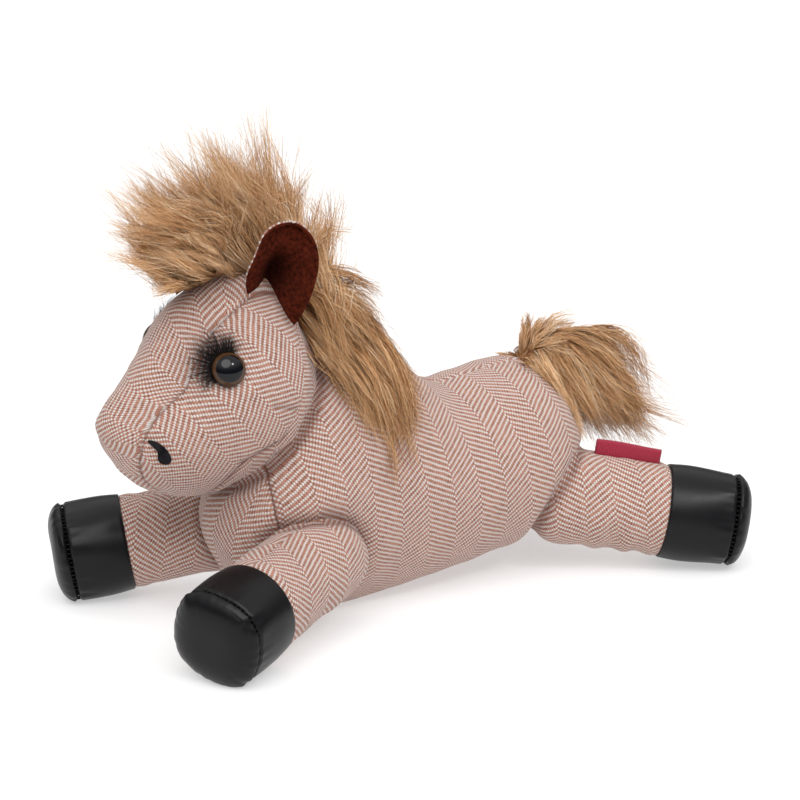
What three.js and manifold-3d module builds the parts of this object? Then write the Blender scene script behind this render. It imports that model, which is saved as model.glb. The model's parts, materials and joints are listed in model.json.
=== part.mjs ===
// A lying plush horse, as a standalone three.js model. Units are millimetres and +Z is up.
// The horse lies on its belly and faces -X, and its left side is -Y.
// The origin is the middle of the footprint, on the surface that the toy lies on.
import * as THREE from 'three';
import { mergeVertices } from 'three/addons/utils/BufferGeometryUtils.js';
import Module from 'manifold-3d';

const wasm = await Module();
wasm.setup();

// Cloth, gaps and the flats that the toy rests on
const clothWall = 1.8; // woven cover with its lining cloth
const leatherWall = 1.6;
const seamGap = 0.3; // between pieces that are sewn together or lie on each other
const liningGap = 0.5; // between a cover and the filling inside it
const restFlat = 0.5; // how deep the toy's own weight presses it flat
const cutOverrun = 40; // how far a cutting block runs past what it cuts

// Body and neck, one stuffed cover from chest to rump
const chestX = -100;
const bodyLength = 178;
const bodyDepth = 80;
const bodyHalfWidth = 38;
const neckRise = 38; // how far the neck's crest stands over the back
const chestRise = 17; // how far the breast's lower edge curls up
const rumpRise = 13; // how far the belly lifts off the surface at the rump
const chestCap = 26;
const rumpCap = 32;

// Head
const noseX = -150;
const headLength = 100;
const headHeight = 91;
const jawZ = 58;
const headHalfWidth = 34;
const noseCap = 38;
const headBackCap = 30;

// Legs: a ball root in a socket of the body, a fabric tube, a leather cuff and a leather sole
const legRootRadius = 20;
const legWaistRadius = 19;
const hoofRadius = 20.5;
const foreCuffLength = 24;
const hindCuffLength = 29;
const soleDome = 8;
const cuffStep = 1.2; // how far the leather stands over the cloth at the rim
const soleTuck = 1.1; // how deep the sole's seam is drawn in
const domeFullness = 0.6; // under 1 keeps the sole's dome fuller than an ellipse
const foreRimLeft = 47; // from the root's centre to the cuff's rim
const foreRimRight = 49;
const hindRim = 43;
const foreRootX = -68;
const foreRootY = 29;
const hindRootX = 60;
const hindRootY = 22;
const legSlope = 9; // degrees that a leg falls towards its hoof
const foreSplayLeft = 24; // degrees that a leg points away from the middle
const foreSplayRight = 27;
const hindSplayLeft = 31;
const hindSplayRight = 46;
const swingIn = 10; // degrees that a leg swings towards the middle, from how it lies
const swingOut = 12;

// Ears
const earHeight = 36;
const earHalfWidth = 14;
const earCup = 7; // how deep the ear is cupped
const earWall = 2.2;
const earLiningWall = 1.2;
const earBaseX = -86;
const earBaseY = 24;
const earBaseZ = 136;
const earTurn = 62; // degrees that the cup looks outwards from straight ahead
const earLean = 13; // degrees that the tip leans back
const earSlant = 5; // how far the base climbs from its middle to its front corner

// Eyes, each on a shank that a washer locks inside the head
const eyeX = -108;
const eyeZ = 116;
const eyeRadius = 7;
const eyeDome = 5.2; // how far the dome stands out
const eyeStemRadius = 2;
const eyeStemLength = 9;
const eyeStemGap = 0.3;
const eyeWasherRadius = 7.5;
const eyeWasherWall = 1.4;
const lashLength = 7;
const lashWall = 0.9;
const lashRise = 3; // how far the fringe's tips stand out from the face
const lashSpan = 190; // degrees round the eye
const lashStart = -10; // degrees from straight back, over the top of the eye

// Nostrils and label
const nostrilX = -135;
const nostrilZ = 85;
const nostrilLength = 10.5;
const nostrilWidth = 6;
const feltWall = 0.8;
const labelLength = 28;
const labelHeight = 8;
const labelWall = 0.8;
const labelFold = 0.5; // between the two leaves of the folded label
const labelRimGap = 5; // from the label's end to the cuff's rim

// Faux fur: the pile's bulk, over a knitted backing that is sewn down
const furBacking = 1.4;
const crownFrontX = -141;
const crownBackX = -41;
const crownHalfWidth = 22;
const crownHalfHeight = 24;
const crownZ = 163;
const crownLockRadius = 9;
const maneTopX = -56;
const maneTopZ = 147;
const maneEndX = -21;
const maneEndZ = 84;
const maneFall = 17; // how far the mane's end falls to the left
const maneLockRadius = 8;
const maneHalfWidth = 21;
const maneHalfHeight = 15;
const backingHalfWidth = 11;
const tailRootX = 55;
const tailRootZ = 87;
const tailCoreRadius = 6.5;
const tailCoreLength = 24;
const tailTipX = 138;
const tailTipZ = 46;
const tailCrestZ = 86;
const tailLockRadius = 8;
const tailHalfWidth = 19;
const tailHalfHeight = 17;
const tailRise = 15; // degrees that the tail's core points up from level
const tailLift = 35; // degrees that the tail lifts from how it lies

// Facets
const bodyRings = 20;
const bodySides = 24;
const headRings = 18;
const headSides = 22;
const legSides = 18;
const innerRings = 11; // of the fillings and of the covers' inner sides
const innerSides = 14;
const legInnerSides = 12;
const ballSteps = 4;
const tubeSteps = 4;
const cuffSteps = 3;
const domeSteps = 4;
const furRings = 12;
const furSides = 12;
const lockRings = 6;
const lockSides = 8;
const eyeSides = 16;
const lashSteps = 14;
const earSteps = 6;

// Finishes
const finish = (color, roughness, metalness = 0) =>
  new THREE.MeshStandardMaterial({ color, roughness, metalness });
const herringbone = finish('#c4a59a', 0.95);
const filling = finish('#f1efe9', 1);
const blackLeather = finish('#19171a', 0.45);
const brownFelt = finish('#4a1d12', 0.98);
const blackFelt = finish('#141214', 0.95);
const camelFur = finish('#9c7558', 0.9);
const furKnit = finish('#b08c6c', 0.95);
const eyePlastic = finish('#1c0f0a', 0.08);
const washerPlastic = finish('#d8d6d0', 0.5);
const lashFibre = finish('#0c0b0c', 0.6);
const labelWeave = finish('#8c1a30', 0.85);

// Solids

// A geometry as a solid, with the points that its faces share merged
function solid(geometry) {
  const bare = geometry.clone();
  bare.deleteAttribute('normal');
  bare.deleteAttribute('uv');
  const merged = mergeVertices(bare);
  return new wasm.Manifold(
    new wasm.Mesh({
      numProp: 3,
      vertProperties: new Float32Array(merged.attributes.position.array),
      triVerts: new Uint32Array(merged.index.array),
    }),
  );
}

// A solid as a geometry
function geometryOf(shape) {
  const { numProp, vertProperties, triVerts } = shape.getMesh();
  const count = vertProperties.length / numProp;
  const positions = new Float32Array(count * 3);
  for (let i = 0; i < count; i++)
    positions.set(vertProperties.subarray(i * numProp, i * numProp + 3), i * 3);
  const geometry = new THREE.BufferGeometry();
  geometry.setAttribute('position', new THREE.BufferAttribute(positions, 3));
  geometry.setIndex(Array.from(triVerts));
  geometry.computeVertexNormals();
  return geometry;
}

function cut(shape, ...tools) {
  return tools.reduce((left, tool) => left.subtract(tool), shape);
}

// The same closed form with its skin moved out by a distance, or in where that is negative
function grown(geometry, distance) {
  const moved = geometry.clone();
  const place = moved.attributes.position;
  const normal = moved.attributes.normal;
  for (let i = 0; i < place.count; i++) {
    const point = new THREE.Vector3().fromBufferAttribute(place, i);
    point.addScaledVector(new THREE.Vector3().fromBufferAttribute(normal, i), distance);
    place.setXYZ(i, point.x, point.y, point.z);
  }
  return moved;
}

// A closed skin over rings of points, with a single point at each end
function skin(first, rings, last) {
  const sides = rings[0].length;
  const at = (ring, side) => 1 + ring * sides + (side % sides);
  const end = 1 + rings.length * sides;
  const index = [];
  for (let s = 0; s < sides; s++) {
    index.push(0, at(0, s + 1), at(0, s));
    for (let r = 0; r + 1 < rings.length; r++) {
      index.push(at(r, s), at(r, s + 1), at(r + 1, s + 1));
      index.push(at(r, s), at(r + 1, s + 1), at(r + 1, s));
    }
    index.push(end, at(rings.length - 1, s), at(rings.length - 1, s + 1));
  }
  const geometry = new THREE.BufferGeometry().setFromPoints([first, ...rings.flat(), last]);
  geometry.setIndex(index);
  geometry.computeVertexNormals();
  return geometry;
}

// A smooth run through a list of values, read at a share of its length
function smooth(list, share) {
  const points = list.map((value, i) => new THREE.Vector3(i, value, 0));
  return new THREE.CatmullRomCurve3(points, false, 'catmullrom').getPoint(share).y;
}

// Shares of a length that lie closer together towards both ends
function endedShares(count) {
  return Array.from({ length: count - 1 }, (_, i) => (1 - Math.cos((Math.PI * (i + 1)) / count)) / 2);
}

// How round an end is: 0 at its tip, and 1 from where its cap ends
function capRound(distance, cap) {
  const run = Math.min(1, Math.max(0, distance / cap));
  return Math.sqrt(1 - (1 - run) ** 2);
}

// A stuffed form of upright oval sections along X, narrower towards the top by the pinch.
// The lists run from front to back and hold low edges, high edges, half widths and pinches.
function stuffedForm({ frontX, length, low, high, half, pinch, frontCap, backCap, rings, sides }) {
  const middleAt = (share) => (smooth(low, share) + smooth(high, share)) / 2;
  const sections = endedShares(rings).map((share) => {
    const round = capRound(share * length, frontCap) * capRound((1 - share) * length, backCap);
    const tall = ((smooth(high, share) - smooth(low, share)) / 2) * round;
    const wide = smooth(half, share) * round;
    return Array.from({ length: sides }, (_, s) => {
      const angle = (2 * Math.PI * s) / sides;
      const rise = Math.sin(angle);
      const narrowing = 1 - smooth(pinch, share) * Math.max(0, rise);
      return new THREE.Vector3(
        frontX + share * length,
        wide * Math.cos(angle) * narrowing,
        middleAt(share) + tall * rise,
      );
    });
  });
  const tip = (share) => new THREE.Vector3(frontX + share * length, 0, middleAt(share));
  return skin(tip(0), sections, tip(1));
}

// A tuft's bulk: oval sections along a curve, from lists of half widths and half heights
function tuftForm(route, half, tall, rings = furRings, sides = furSides) {
  const curve = new THREE.CatmullRomCurve3(route);
  const across = new THREE.Vector3(0, 1, 0);
  const sections = endedShares(rings).map((share) => {
    const upward = new THREE.Vector3().crossVectors(curve.getTangent(share), across).normalize();
    const round = Math.sqrt(Math.sin(Math.PI * share));
    return Array.from({ length: sides }, (_, s) => {
      const angle = (2 * Math.PI * s) / sides;
      return curve
        .getPoint(share)
        .addScaledVector(across, Math.cos(angle) * smooth(half, share) * round)
        .addScaledVector(upward, Math.sin(angle) * smooth(tall, share) * round);
    });
  });
  return skin(route[0], sections, route[route.length - 1]);
}

// A lock of fur that tapers from its root over its bend to its tip
function lock([root, bend, tip], radius) {
  const shares = [0.9, 1.1, 0.75, 0.3].map((s) => s * radius);
  return tuftForm([root, bend, tip], shares, shares, lockRings, lockSides);
}

// A solid of revolution about X, from an outline of [distance along X, radius] pairs
function turned(outline, sides) {
  const points = outline.map(([along, radius]) => new THREE.Vector2(radius, along));
  return new THREE.LatheGeometry(points, sides).rotateZ(-Math.PI / 2);
}

// A block between two corners, for trimming
function block(low, high) {
  const size = new THREE.Vector3().subVectors(high, low);
  const middle = new THREE.Vector3().addVectors(low, high).divideScalar(2);
  return new THREE.BoxGeometry(size.x, size.y, size.z).translate(middle.x, middle.y, middle.z);
}

// Everything below the surface that the toy lies on
const underFloor = block(
  new THREE.Vector3(-bodyLength, -bodyLength, -cutOverrun),
  new THREE.Vector3(bodyLength, bodyLength, 0),
);

const horse = new THREE.Group();

function addMesh(parent, name, shape, material) {
  const mesh = new THREE.Mesh(geometryOf(shape), material);
  mesh.name = name;
  parent.add(mesh);
  return mesh;
}

const degrees = THREE.MathUtils.degToRad;

// Legs, each in a frame of its own with +X from the root to the hoof

const rimRadius = hoofRadius - cuffStep;

// The fabric tube's skin: a ball at the root, drawn in at the waist, full again at the rim
function tubePoints(rim, inset) {
  const ball = Array.from({ length: ballSteps }, (_, i) => {
    const angle = (Math.PI / 2) * (i / ballSteps);
    return [-(legRootRadius - inset) * Math.cos(angle), (legRootRadius - inset) * Math.sin(angle)];
  });
  const tube = Array.from({ length: tubeSteps + 1 }, (_, i) => {
    const run = i / tubeSteps;
    return [run * rim, smooth([legRootRadius, legWaistRadius, rimRadius], run) - inset];
  });
  return [...ball, ...tube];
}

// The hoof's skin: the cuff from its rim to the sole's tucked seam, then the sole's dome
function hoofPoints({ rim, cuffLength }, inset) {
  const cuff = Array.from({ length: cuffSteps + 1 }, (_, i) => {
    const run = i / cuffSteps;
    const radius = smooth([rimRadius + cuffStep / 2, hoofRadius, hoofRadius - soleTuck], run);
    return [rim + run * cuffLength, radius - inset];
  });
  const dome = Array.from({ length: domeSteps }, (_, i) => {
    const angle = (Math.PI / 2) * ((i + 1) / domeSteps);
    const reach = (soleDome - inset) * Math.sin(angle);
    return [rim + cuffLength + reach, (hoofRadius - inset) * Math.cos(angle) ** domeFullness];
  });
  dome[dome.length - 1][1] = 0;
  return [...cuff, ...dome];
}

// The tube as a closed solid that runs past its rim
function legTube(rim, inset, past, sides) {
  const skinPoints = tubePoints(rim, inset);
  const [, lastRadius] = skinPoints[skinPoints.length - 1];
  return turned([...skinPoints, [rim + past, lastRadius], [rim + past, 0]], sides);
}

// The hoof as a closed solid that starts before its rim
function hoofBlock(leg, inset, before, sides) {
  const skinPoints = hoofPoints(leg, inset);
  const [, firstRadius] = skinPoints[0];
  return turned([[leg.rim - before, 0], [leg.rim - before, firstRadius], ...skinPoints], sides);
}

// How high a leg's root stands so that its hoof presses flat on the surface
function rootHeight(leg) {
  const slope = degrees(legSlope);
  const drops = hoofPoints(leg, 0).map(
    ([along, radius]) => along * Math.sin(slope) + radius * Math.cos(slope),
  );
  return Math.max(...drops) - restFlat;
}

const foreleg = { x: foreRootX, cuffLength: foreCuffLength };
const hindleg = { x: hindRootX, cuffLength: hindCuffLength, rim: hindRim };
const legs = [
  { ...foreleg, name: 'foreleg_left', rim: foreRimLeft, y: -foreRootY, yaw: 180 + foreSplayLeft },
  { ...foreleg, name: 'foreleg_right', rim: foreRimRight, y: foreRootY, yaw: 180 - foreSplayRight },
  { ...hindleg, name: 'hindleg_left', y: -hindRootY, yaw: -hindSplayLeft },
  { ...hindleg, name: 'hindleg_right', y: hindRootY, yaw: hindSplayRight },
];

// A leg swings about an upright axis, and positive swings outwards
for (const leg of legs) leg.outward = leg.name.startsWith('fore') === leg.y < 0 ? 1 : -1;

function legFrame(leg) {
  const frame = new THREE.Group();
  frame.position.set(leg.x, leg.y, rootHeight(leg));
  frame.rotation.set(0, degrees(legSlope), degrees(leg.yaw), 'ZYX');
  frame.updateMatrixWorld(true);
  return frame;
}

// The room in the body for a leg at every swing: a ball socket that widens sideways into a fan
function legRoom(leg, gap, sides) {
  const radius = (legRootRadius + gap) / Math.cos(Math.PI / sides) / Math.cos(Math.PI / 4 / ballSteps);
  const ball = Array.from({ length: ballSteps }, (_, i) => {
    const angle = (Math.PI / 2) * ((i + 1) / ballSteps);
    return [-radius * Math.cos(angle), radius * Math.sin(angle)];
  });
  const [toPlusY, toMinusY] = leg.outward > 0 ? [swingOut, swingIn] : [swingIn, swingOut];
  const rings = [...ball, [leg.rim / 2, radius], [leg.rim, radius]].map(([along, round]) =>
    Array.from({ length: sides }, (_, s) => {
      const angle = (2 * Math.PI * (s + 1 / 2)) / sides;
      const swing = Math.cos(angle) > 0 ? toPlusY : -toMinusY;
      const fan = Math.max(0, along) * Math.tan(degrees(swing));
      return new THREE.Vector3(along, round * Math.cos(angle) + fan, round * Math.sin(angle));
    }),
  );
  const room = skin(new THREE.Vector3(-radius, 0, 0), rings, new THREE.Vector3(leg.rim, 0, 0));
  return solid(room.applyMatrix4(legFrame(leg).matrixWorld));
}

function addLeg(leg) {
  const frame = legFrame(leg);
  const floor = solid(underFloor.clone().applyMatrix4(frame.matrixWorld.clone().invert()));
  const seamX = leg.rim + leg.cuffLength;
  const beyond = (from, to) =>
    solid(
      block(
        new THREE.Vector3(from, -cutOverrun, -cutOverrun),
        new THREE.Vector3(to, cutOverrun, cutOverrun),
      ),
    );
  const tube = cut(
    solid(legTube(leg.rim - seamGap, 0, 0, legSides)),
    solid(legTube(leg.rim - seamGap, clothWall, cutOverrun, legInnerSides)),
  );
  const hoof = cut(
    solid(hoofBlock(leg, 0, 0, legSides)),
    solid(hoofBlock(leg, leatherWall, cutOverrun, legInnerSides)),
    floor,
  );
  const core = [
    ...tubePoints(leg.rim, clothWall + liningGap),
    ...hoofPoints(leg, leatherWall + liningGap).slice(1),
  ];
  addMesh(frame, `${leg.name}_cover`, tube, herringbone);
  addMesh(frame, `${leg.name}_filling`, solid(turned(core, legInnerSides)), filling);
  addMesh(frame, `${leg.name}_hoof_cuff`, cut(hoof, beyond(seamX, seamX + cutOverrun)), blackLeather);
  addMesh(
    frame,
    `${leg.name}_hoof_sole`,
    cut(hoof, beyond(leg.rim - cutOverrun, seamX + seamGap)),
    blackLeather,
  );
  horse.add(frame);
  return frame;
}

// Body and neck

// Each list of shares runs from the breast to the rump
const backShares = [0.86, 0.98, 1.02, 1.02, 1.02, 1.035, 1.052, 1.078, 1.1, 1.085, 0.96];
const crestShares = [0, 0.35, 0.85, 1, 0.86, 0.4, 0.05, 0, 0, 0, 0];
const breastShares = [1, 0.25, 0, 0, 0, 0, 0, 0, 0, 0, 0];
const liftShares = [0, 0, 0, 0, 0.05, 0.2, 0.38, 0.58, 0.8, 1, 1.3];
const bodyWidthShares = [0.68, 0.87, 0.98, 1, 1, 1, 1, 1, 0.99, 0.93, 0.74];
const bodyPinchShares = [0.2, 0.2, 0.21, 0.21, 0.18, 0.1, 0, 0, 0, 0, 0];
const bodyShape = (rings, sides) =>
  stuffedForm({
    frontX: chestX,
    length: bodyLength,
    low: liftShares.map((s, i) => s * rumpRise + breastShares[i] * chestRise - restFlat),
    high: backShares.map((s, i) => s * bodyDepth + crestShares[i] * neckRise),
    half: bodyWidthShares.map((s) => s * bodyHalfWidth),
    pinch: bodyPinchShares,
    frontCap: chestCap,
    backCap: rumpCap,
    rings,
    sides,
  });
const bodyForm = bodyShape(bodyRings, bodySides);
const bodyInner = bodyShape(innerRings, innerSides);

// Head

// Each list of shares runs from the nose to the back of the head
const skullShares = [0.54, 0.61, 0.72, 0.865, 0.945, 0.99, 0.95, 0.84, 0.66];
const jawShares = [0.13, 0.04, 0.01, 0, 0, 0.02, 0.06, 0.14, 0.3];
const headWidthShares = [0.69, 0.74, 0.8, 0.9, 0.98, 1, 0.95, 0.84, 0.7];
const headPinchShares = [0.05, 0.08, 0.1, 0.12, 0.15, 0.15, 0.12, 0.1, 0.1];
const headShape = (rings, sides) =>
  stuffedForm({
    frontX: noseX,
    length: headLength,
    low: jawShares.map((s) => jawZ + s * headHeight),
    high: skullShares.map((s) => jawZ + s * headHeight),
    half: headWidthShares.map((s) => s * headHalfWidth),
    pinch: headPinchShares,
    frontCap: noseCap,
    backCap: headBackCap,
    rings,
    sides,
  });
const headForm = headShape(headRings, headSides);
const headInner = headShape(innerRings, innerSides);

// The place and the outward direction where a level line from the side meets a form
function sideSpot(form, x, z, side) {
  const start = new THREE.Vector3(x, side * bodyLength, z);
  const ray = new THREE.Raycaster(start, new THREE.Vector3(0, -side, 0));
  const [hit] = ray.intersectObject(new THREE.Mesh(form));
  return { place: hit.point, outward: hit.face.normal.clone() };
}

// A frame on a form's skin, with +X straight out and +Z as near to upright as that allows
function spotFrame({ place, outward }) {
  const frame = new THREE.Group();
  const back = new THREE.Vector3(0, 0, 1).cross(outward).normalize();
  const up = new THREE.Vector3().crossVectors(outward, back);
  frame.quaternion.setFromRotationMatrix(new THREE.Matrix4().makeBasis(outward, back, up));
  frame.position.copy(place);
  frame.updateMatrixWorld(true);
  return frame;
}

// A thin curved piece from a grid of points, with a back at side 0 and a front at side 1
function sheet(columns, rows, pointAt) {
  const points = [];
  for (const side of [0, 1])
    for (let j = 0; j <= rows; j++)
      for (let i = 0; i <= columns; i++) points.push(pointAt(i / columns, j / rows, side));
  const at = (side, i, j) => (side * (rows + 1) + j) * (columns + 1) + i;
  const index = [];
  const quad = (a, b, c, d) => index.push(a, b, c, a, c, d);
  for (let j = 0; j < rows; j++)
    for (let i = 0; i < columns; i++) {
      quad(at(1, i, j), at(1, i + 1, j), at(1, i + 1, j + 1), at(1, i, j + 1));
      quad(at(0, i, j), at(0, i, j + 1), at(0, i + 1, j + 1), at(0, i + 1, j));
    }
  for (let i = 0; i < columns; i++) {
    quad(at(0, i, 0), at(0, i + 1, 0), at(1, i + 1, 0), at(1, i, 0));
    quad(at(1, i, rows), at(1, i + 1, rows), at(0, i + 1, rows), at(0, i, rows));
  }
  for (let j = 0; j < rows; j++) {
    quad(at(1, 0, j), at(1, 0, j + 1), at(0, 0, j + 1), at(0, 0, j));
    quad(at(0, columns, j), at(0, columns, j + 1), at(1, columns, j + 1), at(1, columns, j));
  }
  const geometry = new THREE.BufferGeometry().setFromPoints(points);
  geometry.setIndex(index);
  return geometry;
}

// Ears

// An ear is a leaf whose edges curl towards its lining; the shares run from base to tip
const earWidthShares = [0.8, 0.97, 1, 0.98, 0.9, 0.7, 0.25];
const earCurlShares = [1.5, 1.2, 1, 0.8, 0.6, 0.35, 0.1];
function earLeaf(side, back, front, margin) {
  return sheet(earSteps, earSteps, (u, v, face) => {
    const across = 2 * u - 1;
    const half = smooth(earWidthShares, v) * earHalfWidth + margin;
    const curl = smooth(earCurlShares, v) * earCup * across ** 2;
    const base = earSlant * across * side;
    const rise = base + v * (earHeight + margin - base);
    return new THREE.Vector3(across * half, rise, curl + (face ? front : back));
  });
}

// An ear's frame: +Y from base to tip, and +Z out of the cup
function earFrame(side) {
  const frame = new THREE.Group();
  const turn = degrees(earTurn);
  const facing = new THREE.Vector3(-Math.cos(turn), side * Math.sin(turn), 0);
  const lean = degrees(earLean);
  const up = new THREE.Vector3(Math.sin(lean), 0, Math.cos(lean));
  const across = new THREE.Vector3().crossVectors(up, facing).normalize();
  up.crossVectors(facing, across);
  frame.quaternion.setFromRotationMatrix(new THREE.Matrix4().makeBasis(across, up, facing));
  frame.position.set(earBaseX, side * earBaseY, earBaseZ);
  frame.updateMatrixWorld(true);
  return frame;
}

function addEar(name, side) {
  const frame = earFrame(side);
  const inFrame = (geometry) => geometry.clone().applyMatrix4(frame.matrixWorld.clone().invert());
  const head = solid(inFrame(grown(headForm, seamGap)));
  const outer = solid(earLeaf(side, -earWall, 0, 0));
  const lining = solid(earLeaf(side, seamGap, seamGap + earLiningWall, -earWall / 2));
  addMesh(frame, `${name}_cover`, cut(outer, head), herringbone);
  addMesh(frame, `${name}_lining`, cut(lining, head), brownFelt);
  horse.add(frame);
}

// Room for the two ears in the fur
const earRoom = [-1, 1].map((side) => {
  const leaf = earLeaf(side, -earWall - seamGap, earLiningWall + liningGap + seamGap, seamGap);
  return solid(leaf.applyMatrix4(earFrame(side).matrixWorld));
});

// Eyes and lashes

// The washer lies behind the cover, clear of the curve of its inner side
const washerDepth = clothWall + liningGap + eyeWasherRadius ** 2 / headHalfWidth;

function eyeHole(radius, length) {
  return new THREE.CylinderGeometry(radius, radius, length, eyeSides).rotateZ(Math.PI / 2);
}

function addEye(name, side) {
  const frame = spotFrame(sideSpot(headForm, eyeX, eyeZ, side));
  const dome = Array.from({ length: ballSteps + 1 }, (_, i) => {
    const angle = (Math.PI / 2) * (i / ballSteps);
    return [seamGap + eyeDome * Math.sin(angle), eyeRadius * Math.cos(angle)];
  });
  dome[ballSteps][1] = 0;
  const stem = [[-eyeStemLength, 0], [-eyeStemLength, eyeStemRadius], [seamGap, eyeStemRadius]];
  const washerBore = eyeStemRadius + eyeStemGap;
  const ring = [
    [-washerDepth, washerBore],
    [-washerDepth - eyeWasherWall, washerBore],
    [-washerDepth - eyeWasherWall, eyeWasherRadius],
    [-washerDepth, eyeWasherRadius],
    [-washerDepth, washerBore],
  ];
  const lash = sheet(lashSteps, 1, (u, v, face) => {
    const turn = degrees(lashStart + lashSpan * u);
    const radius = eyeRadius + seamGap + v * lashLength;
    const rise = seamGap + lashRise * v + lashWall * (face ? 1 : 0);
    return new THREE.Vector3(rise, -side * radius * Math.cos(turn), radius * Math.sin(turn));
  });
  if (side < 0) lash.setIndex([...lash.index.array].reverse());
  const headHere = grown(headForm, seamGap).applyMatrix4(frame.matrixWorld.clone().invert());
  addMesh(frame, `${name}`, solid(turned([...stem, ...dome], eyeSides)), eyePlastic);
  addMesh(frame, `${name}_washer`, solid(turned(ring, eyeSides)), washerPlastic);
  addMesh(frame, `${name}_lashes`, cut(solid(lash), solid(headHere)), lashFibre);
  horse.add(frame);
  const place = (geometry) => solid(geometry.applyMatrix4(frame.matrixWorld));
  return {
    hole: place(eyeHole(eyeStemRadius + eyeStemGap, 2 * clothWall + 2 * eyeStemLength)),
    pocket: place(eyeHole(eyeWasherRadius + liningGap, 2 * eyeStemLength + 2 * liningGap)),
  };
}

// A layer that lies on a form's skin, between two distances from it
function layerOn(form, near, far) {
  return cut(solid(grown(form, far)), solid(grown(form, near)));
}

// Nostrils: teardrops of black felt, tip up and forward

function addNostril(name, side) {
  const spot = sideSpot(headForm, nostrilX, nostrilZ, side);
  const frame = spotFrame(spot);
  const drop = new THREE.Shape();
  const [long, wide] = [nostrilLength / 2, nostrilWidth / 2];
  drop.moveTo(side * long, long);
  drop.quadraticCurveTo(side * wide, -wide, 0, -long);
  drop.quadraticCurveTo(-side * wide * 2, -long, -side * wide, 0);
  drop.quadraticCurveTo(0, wide, side * long, long);
  const depth = 2 * nostrilLength;
  const prism = new THREE.ExtrudeGeometry(drop, { depth, bevelEnabled: false, curveSegments: 4 });
  prism.translate(0, 0, -depth / 2);
  prism.applyMatrix4(
    new THREE.Matrix4().makeBasis(
      new THREE.Vector3(0, 1, 0),
      new THREE.Vector3(0, 0, 1),
      new THREE.Vector3(1, 0, 0),
    ),
  );
  const felt = layerOn(headForm, seamGap, seamGap + feltWall).intersect(
    solid(prism.applyMatrix4(frame.matrixWorld)),
  );
  addMesh(horse, name, felt, blackFelt);
}

// Fur

const furSeat = furBacking + 2 * seamGap;
const furRoom = [solid(grown(headForm, furSeat)), solid(grown(bodyForm, furSeat))];

const at = (x, z, y = 0) => new THREE.Vector3(x, y, z);
const crownLength = crownBackX - crownFrontX;
const crownRoute = [
  at(crownFrontX, crownZ - crownHalfHeight / 3),
  at(crownFrontX + crownLength / 3, crownZ + crownHalfHeight / 6),
  at(crownBackX - crownLength / 3, crownZ),
  at(crownBackX, crownZ - crownHalfHeight / 2),
];
const crownWidthShares = [0.7, 1, 1, 0.8];
const crownLocks = [
  [at(-112, 160), at(-130, 165, -4), at(-145, 160, -6)],
  [at(-110, 165, 2), at(-128, 178, 3), at(-145, 184, 3)],
  [at(-103, 170, -4), at(-109, 188, -5), at(-113, 200, -6)],
  [at(-88, 172, 4), at(-89, 190, 4), at(-88, 201, 5)],
  [at(-73, 166, -2), at(-68, 180, -3), at(-63, 189, -4)],
  [at(-62, 160, 2), at(-50, 169, 2), at(-37, 170, 3)],
  [at(-98, 164, -10), at(-106, 176, -20), at(-112, 184, -26)],
  [at(-90, 164, 10), at(-94, 176, 21), at(-98, 184, 28)],
];
const crownForms = [
  tuftForm(
    crownRoute,
    crownWidthShares.map((s) => s * crownHalfWidth),
    crownWidthShares.map((s) => s * crownHalfHeight),
  ),
  ...crownLocks.map((points) => lock(points, crownLockRadius)),
];
const maneRoute = [
  at(maneTopX, maneTopZ),
  at((2 * maneTopX + maneEndX) / 3, (2 * maneTopZ + maneEndZ) / 3),
  at((maneTopX + 2 * maneEndX) / 3, (maneTopZ + 2 * maneEndZ) / 3, -maneFall / 2),
  at(maneEndX, maneEndZ, -maneFall),
];
const maneWidthShares = [0.8, 1, 1, 0.7];
const maneLocks = [
  [at(-54, 138, -12), at(-48, 122, -25), at(-45, 102, -31)],
  [at(-44, 124, -14), at(-37, 106, -26), at(-32, 84, -32)],
  [at(-33, 108, -14), at(-27, 92, -26), at(-22, 70, -31)],
  [at(-48, 133), at(-33, 127), at(-20, 109, -3)],
  [at(-34, 118, -2), at(-20, 108, -3), at(-8, 90, -6)],
  [at(-44, 128, 12), at(-34, 116, 24), at(-28, 98, 29)],
];
const maneForms = [
  tuftForm(
    maneRoute,
    maneWidthShares.map((s) => s * maneHalfWidth),
    maneWidthShares.map((s) => s * maneHalfHeight),
  ),
  ...maneLocks.map((points) => lock(points, maneLockRadius)),
];
const joined = (forms) => forms.map(solid).reduce((whole, form) => whole.add(form));

function addMane() {
  const crest = (fromX, toX, low) =>
    solid(
      block(
        new THREE.Vector3(fromX, -backingHalfWidth, low),
        new THREE.Vector3(toX, backingHalfWidth, crownZ + crownHalfHeight),
      ),
    );
  const headLayer = layerOn(headForm, seamGap, seamGap + furBacking);
  const neckLayer = layerOn(bodyForm, seamGap, seamGap + furBacking);
  const crownEnd = crownFrontX + crownLength / 4;
  const split = maneTopX - furBacking;
  const crownStrip = headLayer.intersect(crest(crownEnd, split, eyeZ));
  const neckStrip = neckLayer.intersect(crest(maneTopX, maneEndX, bodyDepth));
  addMesh(horse, 'crown_fur_backing', cut(crownStrip, solid(grown(bodyForm, seamGap))), furKnit);
  addMesh(horse, 'mane_fur_backing', cut(neckStrip, solid(grown(headForm, seamGap))), furKnit);
  const crownRoom = joined(crownForms.map((form) => grown(form, seamGap)));
  addMesh(horse, 'crown_fur', cut(joined(crownForms), ...furRoom, ...earRoom), camelFur);
  addMesh(horse, 'mane_fur', cut(joined(maneForms), crownRoom, ...furRoom, ...earRoom), camelFur);
}

// Tail, in a frame at its root; positive lifts it

function tailFrame(lift) {
  const frame = new THREE.Group();
  frame.position.set(tailRootX, 0, tailRootZ);
  frame.rotation.y = -degrees(lift);
  frame.updateMatrixWorld(true);
  return frame;
}

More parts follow.
